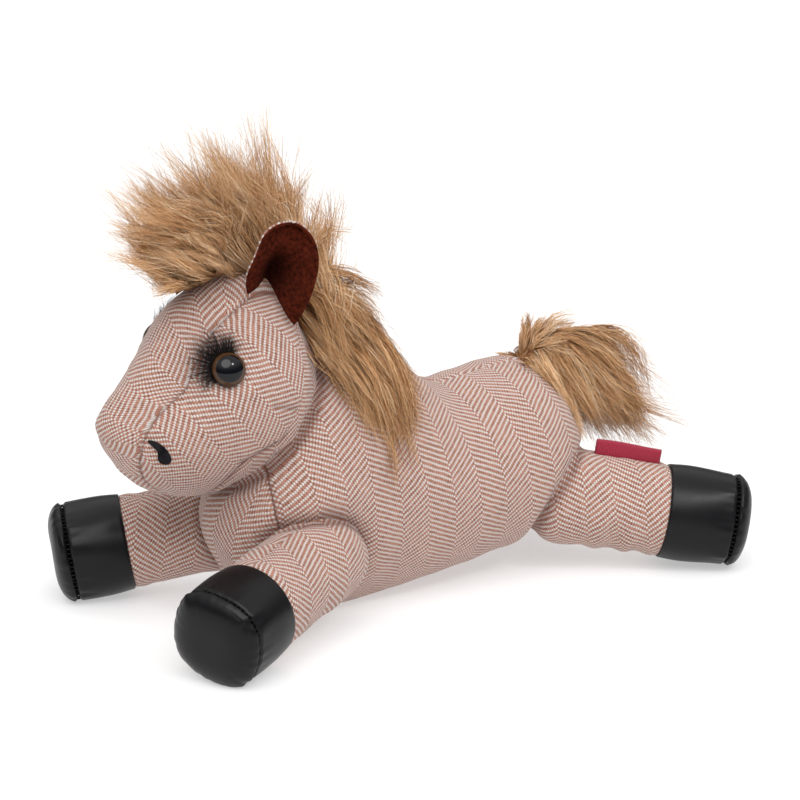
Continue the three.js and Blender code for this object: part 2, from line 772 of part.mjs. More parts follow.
// The core: a ball in the rump's socket and a finger of cloth that the fur is sewn round
function tailCore(grow) {
  const radius = tailCoreRadius + grow;
  const cap = Array.from({ length: ballSteps + 1 }, (_, i) => {
    const angle = (Math.PI / 2) * (i / ballSteps);
    return [-radius * Math.cos(angle), radius * Math.sin(angle)];
  });
  const end = [...cap].reverse().map(([along, r]) => [tailCoreLength - along, r]);
  return turned([...cap, ...end], eyeSides).rotateY(-degrees(tailRise));
}

const tailSocket = [0, tailLift / 2, tailLift].map((lift) =>
  solid(tailCore(seamGap).applyMatrix4(tailFrame(lift).matrixWorld)),
);

function addTail() {
  const frame = tailFrame(0);
  const reach = tailTipX - tailRootX;
  const rise = tailCrestZ - tailRootZ;
  const fall = tailRootZ - tailTipZ;
  const route = [
    at(tailCoreRadius / 2, rise / 2),
    at(reach / 4, rise),
    at((reach * 3) / 5, -fall / 3),
    at(reach, -fall),
  ];
  const widthShares = [0.7, 1, 1, 0.8];
  const bulk = tuftForm(
    route,
    widthShares.map((s) => s * tailHalfWidth),
    widthShares.map((s) => s * tailHalfHeight),
  );
  const locks = [
    [at(4, 2), at(9, 12), at(12, 20, -1)],
    [at(44, -12, 2), at(66, -17, 3), at(88, -27, 4)],
    [at(40, -24, -4), at(56, -40, -7), at(70, -58, -9)],
    [at(50, -26), at(71, -36, -2), at(90, -48, -3)],
  ];
  const bodyAt = (lift) =>
    solid(grown(bodyForm, seamGap).applyMatrix4(tailFrame(lift).matrixWorld.clone().invert()));
  const fur = cut(
    joined([bulk, ...locks.map((points) => lock(points, tailLockRadius))]),
    bodyAt(0),
    bodyAt(tailLift / 2),
    bodyAt(tailLift),
    solid(tailCore(liningGap)),
  );
  addMesh(frame, 'tail_core', solid(tailCore(0)), furKnit);
  addMesh(frame, 'tail_fur', fur, camelFur);
  horse.add(frame);
}

// Label, folded over and sewn into the top seam of one hind leg

function addLabel(frame, rim) {
  const half = labelWall + labelFold / 2;
  const base = legWaistRadius - labelWall;
  const top = legWaistRadius + labelHeight;
  const fold = new THREE.Shape();
  fold.moveTo(-half, base);
  fold.lineTo(-labelFold / 2, base);
  fold.lineTo(-labelFold / 2, top - labelWall);
  fold.lineTo(labelFold / 2, top - labelWall);
  fold.lineTo(labelFold / 2, base);
  fold.lineTo(half, base);
  fold.lineTo(half, top - labelWall);
  fold.lineTo(0, top);
  fold.lineTo(-half, top - labelWall);
  const strip = new THREE.ExtrudeGeometry(fold, { depth: labelLength, bevelEnabled: false });
  strip.applyMatrix4(
    new THREE.Matrix4().makeBasis(
      new THREE.Vector3(0, 1, 0),
      new THREE.Vector3(0, 0, 1),
      new THREE.Vector3(1, 0, 0),
    ),
  );
  strip.translate(rim - labelRimGap - labelLength, 0, 0);
  addMesh(frame, 'side_label', cut(solid(strip), solid(legTube(rim, -seamGap, 0, legSides))), labelWeave);
}

// Assembly

const sockets = [...legs.map((leg) => legRoom(leg, seamGap, legSides)), ...tailSocket];
const innerSockets = [...legs.map((leg) => legRoom(leg, liningGap, legInnerSides)), ...tailSocket];
const headRoom = solid(grown(headForm, seamGap));
const floorCut = solid(underFloor);

const bodyCover = cut(
  solid(bodyForm),
  solid(grown(bodyInner, -clothWall)),
  headRoom,
  floorCut,
  ...sockets,
);
const bodyFilling = cut(
  solid(grown(bodyInner, -clothWall - liningGap)),
  headRoom,
  ...innerSockets,
);
addMesh(horse, 'body_cover', bodyCover, herringbone);
addMesh(horse, 'body_filling', bodyFilling, filling);

const eyes = [addEye('eye_left', -1), addEye('eye_right', 1)];
const headCover = cut(
  solid(headForm),
  solid(grown(headInner, -clothWall)),
  solid(grown(bodyInner, -clothWall)),
  ...eyes.map((eye) => eye.hole),
);
const headFilling = cut(
  solid(grown(headInner, -clothWall - liningGap)),
  ...eyes.map((eye) => eye.pocket),
);
addMesh(horse, 'head_cover', headCover, herringbone);
addMesh(horse, 'head_filling', headFilling, filling);

addEar('ear_left', -1);
addEar('ear_right', 1);
addNostril('nostril_left', -1);
addNostril('nostril_right', 1);
addMane();
const legFrames = legs.map(addLeg);
addLabel(legFrames[2], hindRim);
addTail();

// The origin goes to the middle of the footprint
const footprint = new THREE.Box3().setFromObject(horse);
const middle = footprint.getCenter(new THREE.Vector3());
horse.position.set(-middle.x, -middle.y, 0);

const plush = new THREE.Group();
plush.add(horse);

export default plush;
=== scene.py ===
import json
import math

import bpy
import numpy as np
from mathutils import Matrix, Vector
from mathutils.bvhtree import BVHTree


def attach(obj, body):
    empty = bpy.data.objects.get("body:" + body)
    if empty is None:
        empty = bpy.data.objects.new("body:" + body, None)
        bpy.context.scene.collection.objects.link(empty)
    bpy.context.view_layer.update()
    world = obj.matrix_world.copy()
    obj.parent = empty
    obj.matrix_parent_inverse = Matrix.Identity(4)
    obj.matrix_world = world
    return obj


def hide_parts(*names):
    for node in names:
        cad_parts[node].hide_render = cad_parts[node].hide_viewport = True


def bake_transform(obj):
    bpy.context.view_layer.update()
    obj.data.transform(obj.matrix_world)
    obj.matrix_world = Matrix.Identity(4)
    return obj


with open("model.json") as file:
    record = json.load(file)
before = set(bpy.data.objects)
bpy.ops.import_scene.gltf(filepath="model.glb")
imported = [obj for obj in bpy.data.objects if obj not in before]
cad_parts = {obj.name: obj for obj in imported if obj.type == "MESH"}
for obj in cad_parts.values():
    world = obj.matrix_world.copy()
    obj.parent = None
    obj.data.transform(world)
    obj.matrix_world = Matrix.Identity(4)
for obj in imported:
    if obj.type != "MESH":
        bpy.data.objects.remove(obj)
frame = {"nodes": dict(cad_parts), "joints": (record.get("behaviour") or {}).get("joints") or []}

# Looks of a lying plush horse. Forms are worked out in millimetres on the horse's own axes:
# it faces -X, its left side is -Y, and the surface that it lies on is at Z 0.
MM = 0.001
TURN = 2 * math.pi
joint_spots = {joint["name"]: Vector(joint["pos_m"]) for joint in frame["joints"]}
FORE_ROOT = (-68.0, -29.0)
ORIGIN = np.array(joint_spots["foreleg_left_swing"]) - np.array([*FORE_ROOT, 0]) * MM
ORIGIN[2] = 0
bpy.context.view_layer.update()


def placed(points):
    return ORIGIN + np.asarray(points, float) * MM


# Sizes of the stuffed forms, as in the part
BODY = {
    "front": -100, "length": 178, "front_cap": 26, "back_cap": 32,
    "low": 13 * np.array([0, 0, 0, 0, 0.05, 0.2, 0.38, 0.58, 0.8, 1, 1.3])
    + 17 * np.array([1, 0.25, 0, 0, 0, 0, 0, 0, 0, 0, 0]) - 0.5,
    "high": 80 * np.array([0.86, 0.98, 1.02, 1.02, 1.02, 1.035, 1.052, 1.078, 1.1, 1.085, 0.96])
    + 38 * np.array([0, 0.35, 0.85, 1, 0.86, 0.4, 0.05, 0, 0, 0, 0]),
    "half": 38 * np.array([0.68, 0.87, 0.98, 1, 1, 1, 1, 1, 0.99, 0.93, 0.74]),
    "pinch": np.array([0.2, 0.2, 0.21, 0.21, 0.18, 0.1, 0, 0, 0, 0, 0]),
}
HEAD = {
    "front": -150, "length": 100, "front_cap": 38, "back_cap": 30,
    "low": 58 + 91 * np.array([0.13, 0.04, 0.01, 0, 0, 0.02, 0.06, 0.14, 0.3]),
    "high": 58 + 91 * np.array([0.54, 0.61, 0.72, 0.865, 0.945, 0.99, 0.95, 0.84, 0.66]),
    "half": 34 * np.array([0.69, 0.74, 0.8, 0.9, 0.98, 1, 0.95, 0.84, 0.7]),
    "pinch": np.array([0.05, 0.08, 0.1, 0.12, 0.15, 0.15, 0.12, 0.1, 0.1]),
}
LEGS = {
    "foreleg_left": {"yaw": 204, "rim": 47, "cuff": 24},
    "foreleg_right": {"yaw": 153, "rim": 49, "cuff": 24},
    "hindleg_left": {"yaw": -31, "rim": 43, "cuff": 29},
    "hindleg_right": {"yaw": 46, "rim": 43, "cuff": 29},
}
LEG_SLOPE = 9
LEG_RADII = [20, 19, 19.3]
LEG_CLOTH_RADIUS = 19.4
HOOF_RADIUS = 20.5
SOLE_DOME = 8
HOOF_SQUARE = 0.035
HOOF_GATHER = 0.3
EYE_SPOT = (-108, 116)
EYE_RADIUS = 7
EYE_DOME = 5.2
NOSTRIL_SPOT = (-135, 85)
TAIL_ROOT = (55, 0, 87)


# Curves and forms

def smooth(values, share):
    values = np.asarray(values, float)
    run = np.concatenate([[2 * values[0] - values[1]], values, [2 * values[-1] - values[-2]]])
    place = np.clip(share, 0, 1) * (len(values) - 1)
    index = np.minimum(place.astype(int), len(values) - 2)
    t = place - index
    a, b, c, d = (run[index + k] for k in range(4))
    return 0.5 * (2 * b + (c - a) * t + (2 * a - 5 * b + 4 * c - d) * t**2 + (3 * b - a - 3 * c + d) * t**3)


def smooth_run(points, share):
    points = np.asarray(points, float)
    return np.stack([smooth(points[:, k], share) for k in range(points.shape[1])], -1)


def cap_round(distance, cap):
    return np.sqrt(np.clip(1 - (1 - np.clip(distance / cap, 0, 1)) ** 2, 0, 1))


def bell(distance, width):
    return np.exp(-(distance / width) ** 2)


def ease(value, start, end):
    t = np.clip((value - start) / (end - start), 0, 1)
    return t * t * (3 - 2 * t)


def section_sizes(form, share):
    low = smooth(form["low"], share)
    high = smooth(form["high"], share)
    return (low + high) / 2, (high - low) / 2, smooth(form["half"], share)


def form_points(form, share, angle):
    length = form["length"]
    middle, tall, wide = section_sizes(form, share)
    ends = cap_round(share * length, form["front_cap"]) * cap_round((1 - share) * length, form["back_cap"])
    rise = np.sin(angle)
    narrow = 1 - smooth(form["pinch"], share) * np.maximum(0, rise)
    x = form["front"] + share * length
    return np.stack([x + 0 * angle, wide * ends * np.cos(angle) * narrow, middle + tall * ends * rise], -1)


# Rings and sides of a form at even steps along its skin, and its two poles
def form_grid(form, rings, sides):
    fine = (1 - np.cos(np.linspace(0, math.pi, 1601))) / 2
    steps = sum(
        np.linalg.norm(np.diff(form_points(form, fine, 0 * fine + angle), axis=0), axis=1)
        for angle in (0, math.pi / 2, -math.pi / 2)
    )
    run = np.concatenate([[0], np.cumsum(steps)])
    share = np.interp(np.linspace(0, run[-1], rings + 2)[1:-1], run, fine)
    angle = np.linspace(0, TURN, sides, endpoint=False)
    share, angle = np.meshgrid(share, angle, indexing="ij")
    grid = form_points(form, share.ravel(), angle.ravel()).reshape(rings, sides, 3)
    return grid, form_points(form, np.array([0.0, 1.0]), np.array([0.0, 0.0]))


# Change of a grid or field from side to side and from ring to ring
def steps_of(field):
    return np.roll(field, -1, 1) - np.roll(field, 1, 1), np.gradient(field, axis=0)


def outward_of(grid):
    normal = np.cross(*steps_of(grid))
    return normal / np.maximum(np.linalg.norm(normal, axis=2, keepdims=True), 1e-9)


# Soft lumps of the filling: a few slow waves in fixed directions
def lumps(points, size, seed):
    rng = np.random.default_rng(seed)
    total = np.zeros(points.shape[:-1])
    for _ in range(9):
        direction = rng.normal(size=3)
        direction /= np.linalg.norm(direction)
        reach = size * rng.uniform(0.7, 1.6)
        total += np.sin(points @ direction * TURN / reach + rng.uniform(0, 6.3))
    return total / 4


def leg_matrix(name):
    yaw, slope = math.radians(LEGS[name]["yaw"]), math.radians(LEG_SLOPE)
    turn = np.array([[math.cos(yaw), -math.sin(yaw), 0], [math.sin(yaw), math.cos(yaw), 0], [0, 0, 1]])
    tilt = np.array([
        [math.cos(slope), 0, math.sin(slope)], [0, 1, 0], [-math.sin(slope), 0, math.cos(slope)],
    ])
    root = (np.array(joint_spots[f"{name}_swing"]) - ORIGIN) / MM
    return turn @ tilt, root


def leg_radius(along, rim):
    return smooth(LEG_RADII, np.clip(along / rim, 0, 1))


# How far points lie outside a leg's skin
def leg_clearance(points, name):
    turn, root = leg_matrix(name)
    local = (points - root) @ turn
    along = local[..., 0]
    across = np.linalg.norm(local[..., 1:], axis=-1)
    ball = np.linalg.norm(local, axis=-1)
    return np.where(along > 0, across, ball) - leg_radius(along, LEGS[name]["rim"])


# Meshes

def new_mesh(name, points, edges, faces):
    mesh = bpy.data.meshes.new(name)
    mesh.from_pydata([tuple(point) for point in points], edges, faces)
    return mesh


def in_scene(name, data):
    thing = bpy.data.objects.new(name, data)
    bpy.context.scene.collection.objects.link(thing)
    return thing


def new_piece(name, points, faces, material, smooth_faces=True):
    mesh = new_mesh(name, points, [], faces)
    mesh.update()
    if smooth_faces:
        mesh.polygons.foreach_set("use_smooth", np.ones(len(mesh.polygons), bool))
    mesh.materials.append(material)
    return in_scene(name, mesh)


def set_values(piece, name, values):
    values = np.asarray(values, np.float32)
    kind, key = ("FLOAT", "value") if values.ndim == 1 else ("FLOAT_VECTOR", "vector")
    attribute = piece.data.attributes.new(name, kind, "POINT")
    attribute.data.foreach_set(key, values.ravel())


# A UV map from millimetres, one pair for each corner of each face
def set_map(piece, name, pairs):
    layer = piece.data.uv_layers.new(name=name)
    layer.data.foreach_set("uv", (pairs * MM).astype(np.float32).ravel())


# A grid with its first side once more at its end
def closed(grid):
    return np.concatenate([grid, grid[:, :1]], 1)


# The four corners of each face between neighbouring rows and columns
def corners(grid):
    return np.stack([grid[:-1, :-1], grid[:-1, 1:], grid[1:, 1:], grid[1:, :-1]], 2)


def sheet_faces(rows, columns):
    return corners(np.arange(rows * columns).reshape(rows, columns)).reshape(-1, 4)


def skin_faces(rings, sides):
    number = closed(1 + np.arange(rings * sides).reshape(rings, sides))
    pole = np.full(sides, rings * sides + 1)
    front = np.stack([0 * pole, number[0, 1:], number[0, :-1]], 1)
    back = np.stack([pole, number[-1, :-1], number[-1, 1:]], 1)
    return [*corners(number).reshape(-1, 4).tolist(), *front.tolist(), *back.tolist()]


# A closed skin of rings between two poles.
# Each map holds a UV for every ring and side, with the first side once more at its end.
def skin(name, grid, poles, material, maps=None, values=None):
    rings, sides = grid.shape[:2]
    points = np.concatenate([[poles[0]], grid.reshape(-1, 3), [poles[1]]])
    piece = new_piece(name, placed(points), skin_faces(rings, sides), material)
    for map_name, uv in (maps or {}).items():
        front = np.stack([np.tile(uv[0].mean(0), (sides, 1)), uv[0, 1:], uv[0, :-1]], 1)
        back = np.stack([np.tile(uv[-1].mean(0), (sides, 1)), uv[-1, :-1], uv[-1, 1:]], 1)
        pairs = [part.reshape(-1, 2) for part in (corners(uv), front, back)]
        set_map(piece, map_name, np.concatenate(pairs))
    for value_name, field in (values or {}).items():
        flat = np.concatenate([[field[0].mean()], field.ravel(), [field[-1].mean()]])
        set_values(piece, value_name, flat)
    return piece


def middle_poles(grid):
    return [grid[0].mean(0), grid[-1].mean(0)]


# A closed form that rays and nearest points are looked up on
def lookup(grid, poles):
    points = [Vector(poles[0]), *(Vector(point) for point in grid.reshape(-1, 3)), Vector(poles[1])]
    return BVHTree.FromPolygons(points, skin_faces(*grid.shape[:2]))


# How far points lie outside a neighbouring form, negative inside it
def clearance(points, neighbour):
    gaps = []
    for point in points.reshape(-1, 3):
        spot, normal, _, distance = neighbour.find_nearest(Vector(point))
        gaps.append(distance if (Vector(point) - spot).dot(normal) >= 0 else -distance)
    return np.reshape(gaps, points.shape[:-1])


def finished(piece, slot, body, *nodes):
    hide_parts(*nodes)
    if body:
        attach(piece, body)


# Nodes

FLOAT = "NodeSocketFloat"
VECTOR = "NodeSocketVector"
MATERIAL = "NodeSocketMaterial"
GEOMETRY = "NodeSocketGeometry"
NUMBER_SOCKETS = {float: FLOAT, int: "NodeSocketInt"}


# A tree with a short name for each kind of node that it uses often
class Nodes:
    def __init__(self, tree):
        self.tree = tree

    def feed(self, socket, value):
        if isinstance(value, bpy.types.NodeSocket):
            self.tree.links.new(value, socket)
        else:
            socket.default_value = value

    def put(self, kind, inputs=None, **settings):
        node = self.tree.nodes.new(kind)
        for key, value in settings.items():
            setattr(node, key, value)
        for key, value in (inputs or {}).items():
            self.feed(node.inputs[key], value)
        return node

    def sums(self, operation, *values):
        return self.put("ShaderNodeMath", dict(enumerate(values)), operation=operation).outputs[0]

    def times(self, first, *others):
        for other in others:
            first = self.sums("MULTIPLY", first, other)
        return first

    def plus(self, first, second):
        return self.sums("ADD", first, second)

    def power(self, base, exponent):
        return self.sums("POWER", base, exponent)

    def ripple(self, run):
        return self.sums("ABSOLUTE", self.sums("SINE", run))

    def vectors(self, operation, first, second):
        key = "Scale" if operation == "SCALE" else 1
        return self.put("ShaderNodeVectorMath", {0: first, key: second}, operation=operation).outputs[0]

    def between(self, value, low, high, to_low=0.0, to_high=1.0):
        ends = {"Value": value, "From Min": low, "From Max": high, "To Min": to_low, "To Max": to_high}
        return self.put("ShaderNodeMapRange", ends, interpolation_type="SMOOTHSTEP").outputs["Result"]

    def mixed(self, factor, first, second, blend="MIX"):
        inputs = {0: factor, 6: first, 7: second}
        return self.put("ShaderNodeMix", inputs, data_type="RGBA", blend_type=blend).outputs[2]

    def grey(self, level):
        return self.put("ShaderNodeCombineColor", {0: level, 1: level, 2: level}).outputs[0]

    def noise(self, vector, scale, detail=2.0, distortion=0.0):
        inputs = {"Vector": vector, "Scale": scale, "Detail": detail, "Distortion": distortion}
        return self.put("ShaderNodeTexNoise", inputs).outputs["Fac"]

    def place(self, group, **inputs):
        node = self.put("ShaderNodeGroup", node_tree=group)
        for label, value in inputs.items():
            self.feed(node.inputs[label], value)
        return node.outputs

    def position(self):
        return self.put("ShaderNodeTexCoord").outputs["Object"]

    def map(self, name):
        return self.put("ShaderNodeUVMap", uv_map=name).outputs[0]

    def value(self, name):
        return self.put("ShaderNodeAttribute", attribute_name=name).outputs["Fac"]

    def named(self, name, kind="FLOAT"):
        node = self.put("GeometryNodeInputNamedAttribute", {"Name": name}, data_type=kind)
        return node.outputs["Attribute"]

    # The last steps of each tree: real meshes with their material
    def coat(self, geometry, material, out):
        joined = self.put("GeometryNodeRealizeInstances", {"Geometry": geometry}).outputs[0]
        coated = self.put("GeometryNodeSetMaterial", {"Geometry": joined, "Material": material})
        self.feed(out["Geometry"], coated.outputs[0])


# A material's nodes, with constants straight on its shader
class Finish(Nodes):
    def __init__(self, name, **constants):
        self.material = bpy.data.materials.new(name)
        self.material.use_nodes = True
        super().__init__(self.material.node_tree)
        self.shader = self.tree.nodes["Principled BSDF"].inputs
        for label, value in constants.items():
            self.shader[label.replace("_", " ").title().replace("Ior", "IOR")].default_value = value

    def colour(self, colour):
        self.feed(self.shader["Base Color"], colour)

    def relief(self, height, distance, strength):
        bump = self.put("ShaderNodeBump", {"Height": height, "Distance": distance, "Strength": strength})
        self.feed(self.shader["Normal"], bump.outputs["Normal"])


def rgb(*levels):
    linear = [(c / 255 / 12.92) if c <= 10 else ((c / 255 + 0.055) / 1.055) ** 2.4 for c in levels]
    return (*linear, 1.0)


# A group of nodes. Each input is its default number, or else the kind of its socket.
def new_group(kind, name, inputs, outputs):
    tree = bpy.data.node_groups.new(name, kind)
    for label, value in inputs.items():
        socket_type = NUMBER_SOCKETS.get(type(value), value)
        socket = tree.interface.new_socket(label, in_out="INPUT", socket_type=socket_type)
        if type(value) in NUMBER_SOCKETS:
            socket.default_value = value
    for label, socket_type in outputs.items():
        tree.interface.new_socket(label, in_out="OUTPUT", socket_type=socket_type)
    nodes = Nodes(tree)
    return nodes, nodes.put("NodeGroupInput").outputs, nodes.put("NodeGroupOutput").inputs


# Two-and-two twill whose slant turns back every band: rust floats lie along V, light picks along U
def herringbone_group():
    nodes, given, out = new_group(
        "ShaderNodeTree", "herringbone_weave",
        {"Weave": VECTOR, "Thread": 0.0009, "Ends": 14.0, "Pitch": 0.00245},
        {"Rust": FLOAT, "Bead": FLOAT, "Height": FLOAT, "Yarn": FLOAT},
    )
    wobble = nodes.put("ShaderNodeTexNoise", {"Vector": given["Weave"], "Scale": 260.0, "Detail": 1.0})
    shift = nodes.vectors("SUBTRACT", wobble.outputs["Color"], (0.5, 0.5, 0.5))
    loose = nodes.vectors("ADD", given["Weave"], nodes.vectors("SCALE", shift, 0.0007))
    parts = nodes.put("ShaderNodeSeparateXYZ", {0: loose}).outputs
    end = nodes.sums("DIVIDE", parts[0], given["Thread"])
    pick = nodes.sums("DIVIDE", parts[1], given["Pitch"])
    column = nodes.sums("FLOOR", end)
    middle = nodes.plus(column, 0.5)
    slant = nodes.sums("PINGPONG", middle, given["Ends"])
    # Each turn of the twill is half a stripe out, so rust meets off-white there
    band = nodes.sums("FLOOR", nodes.sums("DIVIDE", middle, given["Ends"]))
    phase = nodes.sums("MULTIPLY_ADD", slant, 0.24, nodes.sums("MULTIPLY_ADD", band, 0.5, pick))
    wave = nodes.sums("SINE", nodes.times(phase, TURN))
    across = nodes.ripple(nodes.times(end, math.pi))
    bead = nodes.times(nodes.power(across, 0.6), nodes.sums("MAXIMUM", wave, 0.0))
    ridge = nodes.ripple(nodes.times(pick, 2 * TURN))
    trough = nodes.sums("MAXIMUM", nodes.times(wave, -1.0), 0.0)
    weft = nodes.times(nodes.sums("MULTIPLY_ADD", ridge, 0.6, 0.25), trough)
    cell = nodes.put("ShaderNodeCombineXYZ", {0: column, 1: nodes.sums("FLOOR", nodes.times(phase, 2.0))})
    yarn = nodes.put("ShaderNodeTexWhiteNoise", {"Vector": cell.outputs[0]}, noise_dimensions="2D")
    nodes.feed(out["Rust"], nodes.between(wave, -0.3, 0.25))
    nodes.feed(out["Bead"], nodes.between(across, 0.15, 0.8))
    nodes.feed(out["Height"], nodes.plus(nodes.power(bead, 0.5), nodes.power(weft, 0.6)))
    nodes.feed(out["Yarn"], yarn.outputs["Value"])
    return nodes.tree


# Short tangled nap, for felt and knit
def nap_group():
    nodes, given, out = new_group(
        "ShaderNodeTree", "nap", {"Position": VECTOR, "Scale": 900.0}, {"Tone": FLOAT, "Height": FLOAT}
    )
    fine = nodes.noise(given["Position"], given["Scale"], 4.0, 1.5)
    broad = nodes.noise(given["Position"], nodes.times(given["Scale"], 0.18))
    nodes.feed(out["Tone"], nodes.times(nodes.plus(fine, broad), 0.5))
    nodes.feed(out["Height"], fine)
    return nodes.tree


# Fine grain and faint scuffs, for leatherette
def grain_group():
    nodes, given, out = new_group(
        "ShaderNodeTree", "leatherette_grain", {"Position": VECTOR, "Scale": 1400.0},
        {"Scuff": FLOAT, "Height": FLOAT},
    )
    position = given["Position"]
    cells = nodes.put("ShaderNodeTexVoronoi", {"Vector": position, "Scale": given["Scale"]}, feature="F1")
    specks = nodes.between(nodes.noise(position, 900.0), 0.68, 0.8)
    scuffs = nodes.noise(position, 60.0, 3.0)
    nodes.feed(out["Scuff"], nodes.sums("MULTIPLY_ADD", specks, 0.5, scuffs))
    nodes.feed(out["Height"], cells.outputs["Distance"])
    return nodes.tree


HERRINGBONE = herringbone_group()
NAP = nap_group()
GRAIN = grain_group()


# Finishes

def herringbone_cloth():
    cloth = Finish(
        "herringbone_cloth", roughness=0.9, sheen_weight=0.18, sheen_roughness=0.45, specular_ior_level=0.25
    )
    panel = cloth.value("panel")
    on_panel = cloth.sums("GREATER_THAN", panel, 0.0)
    maps = {0: on_panel, 4: cloth.map("weave"), 5: cloth.map("panel_weave")}
    weave = cloth.place(HERRINGBONE, Weave=cloth.put("ShaderNodeMix", maps, data_type="VECTOR").outputs[1])
    dyed = cloth.mixed(weave["Yarn"], rgb(130, 74, 52), rgb(178, 118, 96))
    rust = cloth.mixed(weave["Bead"], rgb(188, 154, 141), dyed)
    pale = cloth.mixed(cloth.noise(cloth.position(), 700.0, 3.0), rgb(200, 188, 182), rgb(232, 226, 221))
    light = cloth.mixed(weave["Bead"], rgb(174, 142, 129), pale)
    # Painted shade and light from the weave's height: the gaps between threads are darkened and the thread
    # crowns lightened a little
    gap_shade = cloth.grey(cloth.between(weave["Height"], 0.0, 1.0, 0.62, 1.06))
    shaded = cloth.mixed(1.0, cloth.mixed(weave["Rust"], light, rust), gap_shade, "MULTIPLY")
    # Painted shade along each seam: a dark line where the cloth dips into the seam, which the bump dips as
    # well
    seam = cloth.between(cloth.sums("ABSOLUTE", panel), 0.0, 0.0008, 0.75, 0.0)
    line = cloth.times(seam, cloth.value("sewn"))
    seam_shaded = cloth.mixed(line, shaded, rgb(96, 52, 40))
    # Painted shade in creases and where parts meet, darkened by the value read here
    cloth.colour(cloth.mixed(cloth.times(cloth.value("crease_shade"), 0.55), seam_shaded, rgb(84, 40, 30)))
    cloth.relief(cloth.sums("SUBTRACT", weave["Height"], cloth.times(line, 2.0)), 0.0003, 0.55)
    return cloth.material


def leatherette():
    leather = Finish("black_leatherette", specular_ior_level=0.24)
    grain = leather.place(GRAIN, Position=leather.position())
    leather.colour(leather.mixed(grain["Scuff"], rgb(5, 5, 7), rgb(13, 12, 15)))
    leather.feed(leather.shader["Roughness"], leather.between(grain["Scuff"], 0.2, 0.9, 0.3, 0.44))
    leather.relief(grain["Height"], 0.0001, 0.12)
    return leather.material


def felt(name, dark, light, scale, bumpiness):
    nap_cloth = Finish(name, roughness=0.95, specular_ior_level=0.06)
    nap = nap_cloth.place(NAP, Position=nap_cloth.position(), Scale=scale)
    lit = nap_cloth.mixed(nap_cloth.between(nap["Tone"], 0.32, 0.68), dark, light)
    # Painted shade in the ear lining's crease, darkening the nap towards near black
    nap_cloth.colour(nap_cloth.mixed(nap_cloth.times(nap_cloth.value("crease_shade"), 0.7), lit, rgb(16, 6, 4)))
    nap_cloth.relief(nap["Height"], 0.0004, bumpiness)
    return nap_cloth.material


def fur_fibre():
    fur = Finish("camel_fur", roughness=0.55, specular_ior_level=0.25)
    ramp = fur.put("ShaderNodeValToRGB", {"Fac": fur.value("strand_tone")})
    stops = [
        (0.0, rgb(30, 25, 25)), (0.03, rgb(48, 36, 30)), (0.05, rgb(146, 98, 58)),
        (0.35, rgb(214, 164, 114)), (0.7, rgb(242, 202, 156)), (1.0, rgb(255, 238, 210)),
    ]
    while len(ramp.color_ramp.elements) < len(stops):
        ramp.color_ramp.elements.new(0.5)
    for element, (place, colour) in zip(ramp.color_ramp.elements, stops):
        element.position = place
        element.color = colour
    # Strands are painted darker towards the root, as shade inside the fur
    root_shade = fur.between(fur.value("strand_run"), 0.0, 0.55, 0.65, 0.0)
    fur.colour(fur.mixed(root_shade, ramp.outputs["Color"], rgb(120, 74, 42)))
    return fur.material


# Pile under the long strands, painted darker than them as the shade inside the fur
def fur_under():
    pile = Finish("fur_under", roughness=0.9, sheen_weight=0.2)
    nap = pile.place(NAP, Position=pile.position(), Scale=420.0)
    pile.colour(pile.mixed(pile.between(nap["Tone"], 0.35, 0.65), rgb(96, 60, 36), rgb(150, 106, 70)))
    pile.relief(nap["Height"], 0.0015, 0.8)
    return pile.material


def eye_gloss():
    eye = Finish(
        "eye_plastic", roughness=0.15, coat_weight=0.55, coat_roughness=0.02, specular_ior_level=0.06
    )
    radial = eye.value("radial")
    iris = eye.mixed(eye.noise(eye.position(), 1500.0, 3.0), rgb(46, 28, 16), rgb(92, 62, 38))
    pupil = eye.mixed(eye.between(radial, 0.74, 0.8), rgb(6, 7, 12), iris)
    eye.colour(eye.mixed(eye.between(radial, 0.9, 0.97), pupil, rgb(26, 16, 12)))
    return eye.material


def lash_black():
    lash = Finish("lash_fibre", roughness=0.55, specular_ior_level=0.3)
    lash.colour(lash.mixed(lash.value("strand_tone"), rgb(10, 8, 9), rgb(40, 33, 33)))
    return lash.material


def label_satin():
    tape = Finish("label_weave", roughness=0.55, sheen_weight=0.2, specular_ior_level=0.35)
    parts = tape.put("ShaderNodeSeparateXYZ", {0: tape.map("weave")}).outputs
    ribs = tape.sums("SINE", tape.times(tape.plus(parts[0], parts[1]), 9000.0))
    tone = tape.between(ribs, -1.0, 1.0)
    tape.colour(tape.mixed(tone, rgb(128, 18, 42), rgb(168, 34, 62)))
    tape.relief(tone, 0.00015, 0.5)
    return tape.material


def moulded_plastic():
    plastic = Finish("washer_plastic", roughness=0.5)
    mottle = plastic.noise(plastic.position(), 500.0)
    plastic.colour(plastic.mixed(mottle, rgb(208, 206, 200), rgb(222, 220, 216)))
    plastic.relief(mottle, 0.0001, 0.3)
    return plastic.material


def thread_black():
    thread = Finish("black_thread", roughness=0.7, specular_ior_level=0.3)
    thread.colour(thread.mixed(thread.noise(thread.position(), 2500.0), rgb(8, 8, 9), rgb(26, 25, 27)))
    return thread.material


CLOTH = herringbone_cloth()
LEATHER = leatherette()
BROWN_FELT = felt("brown_felt", rgb(38, 10, 5), rgb(98, 38, 21), 3600.0, 0.9)
BLACK_FELT = felt("black_felt", rgb(14, 13, 15), rgb(38, 36, 38), 1600.0, 0.5)
KNIT = felt("fur_knit", rgb(112, 80, 56), rgb(160, 124, 92), 1500.0, 0.6)
FUR = fur_fibre()
UNDER = fur_under()
EYE = eye_gloss()
LASH = lash_black()
LABEL = label_satin()
WASHER = moulded_plastic()
THREAD = thread_black()


# Weave maps, in millimetres

def turned_map(first, second, band):
    direction = np.array(band) / np.linalg.norm(band)
    across = np.array([-direction[1], direction[0]])
    flat = np.stack([first, second], -1)
    return np.stack([flat @ across, flat @ direction], -1)


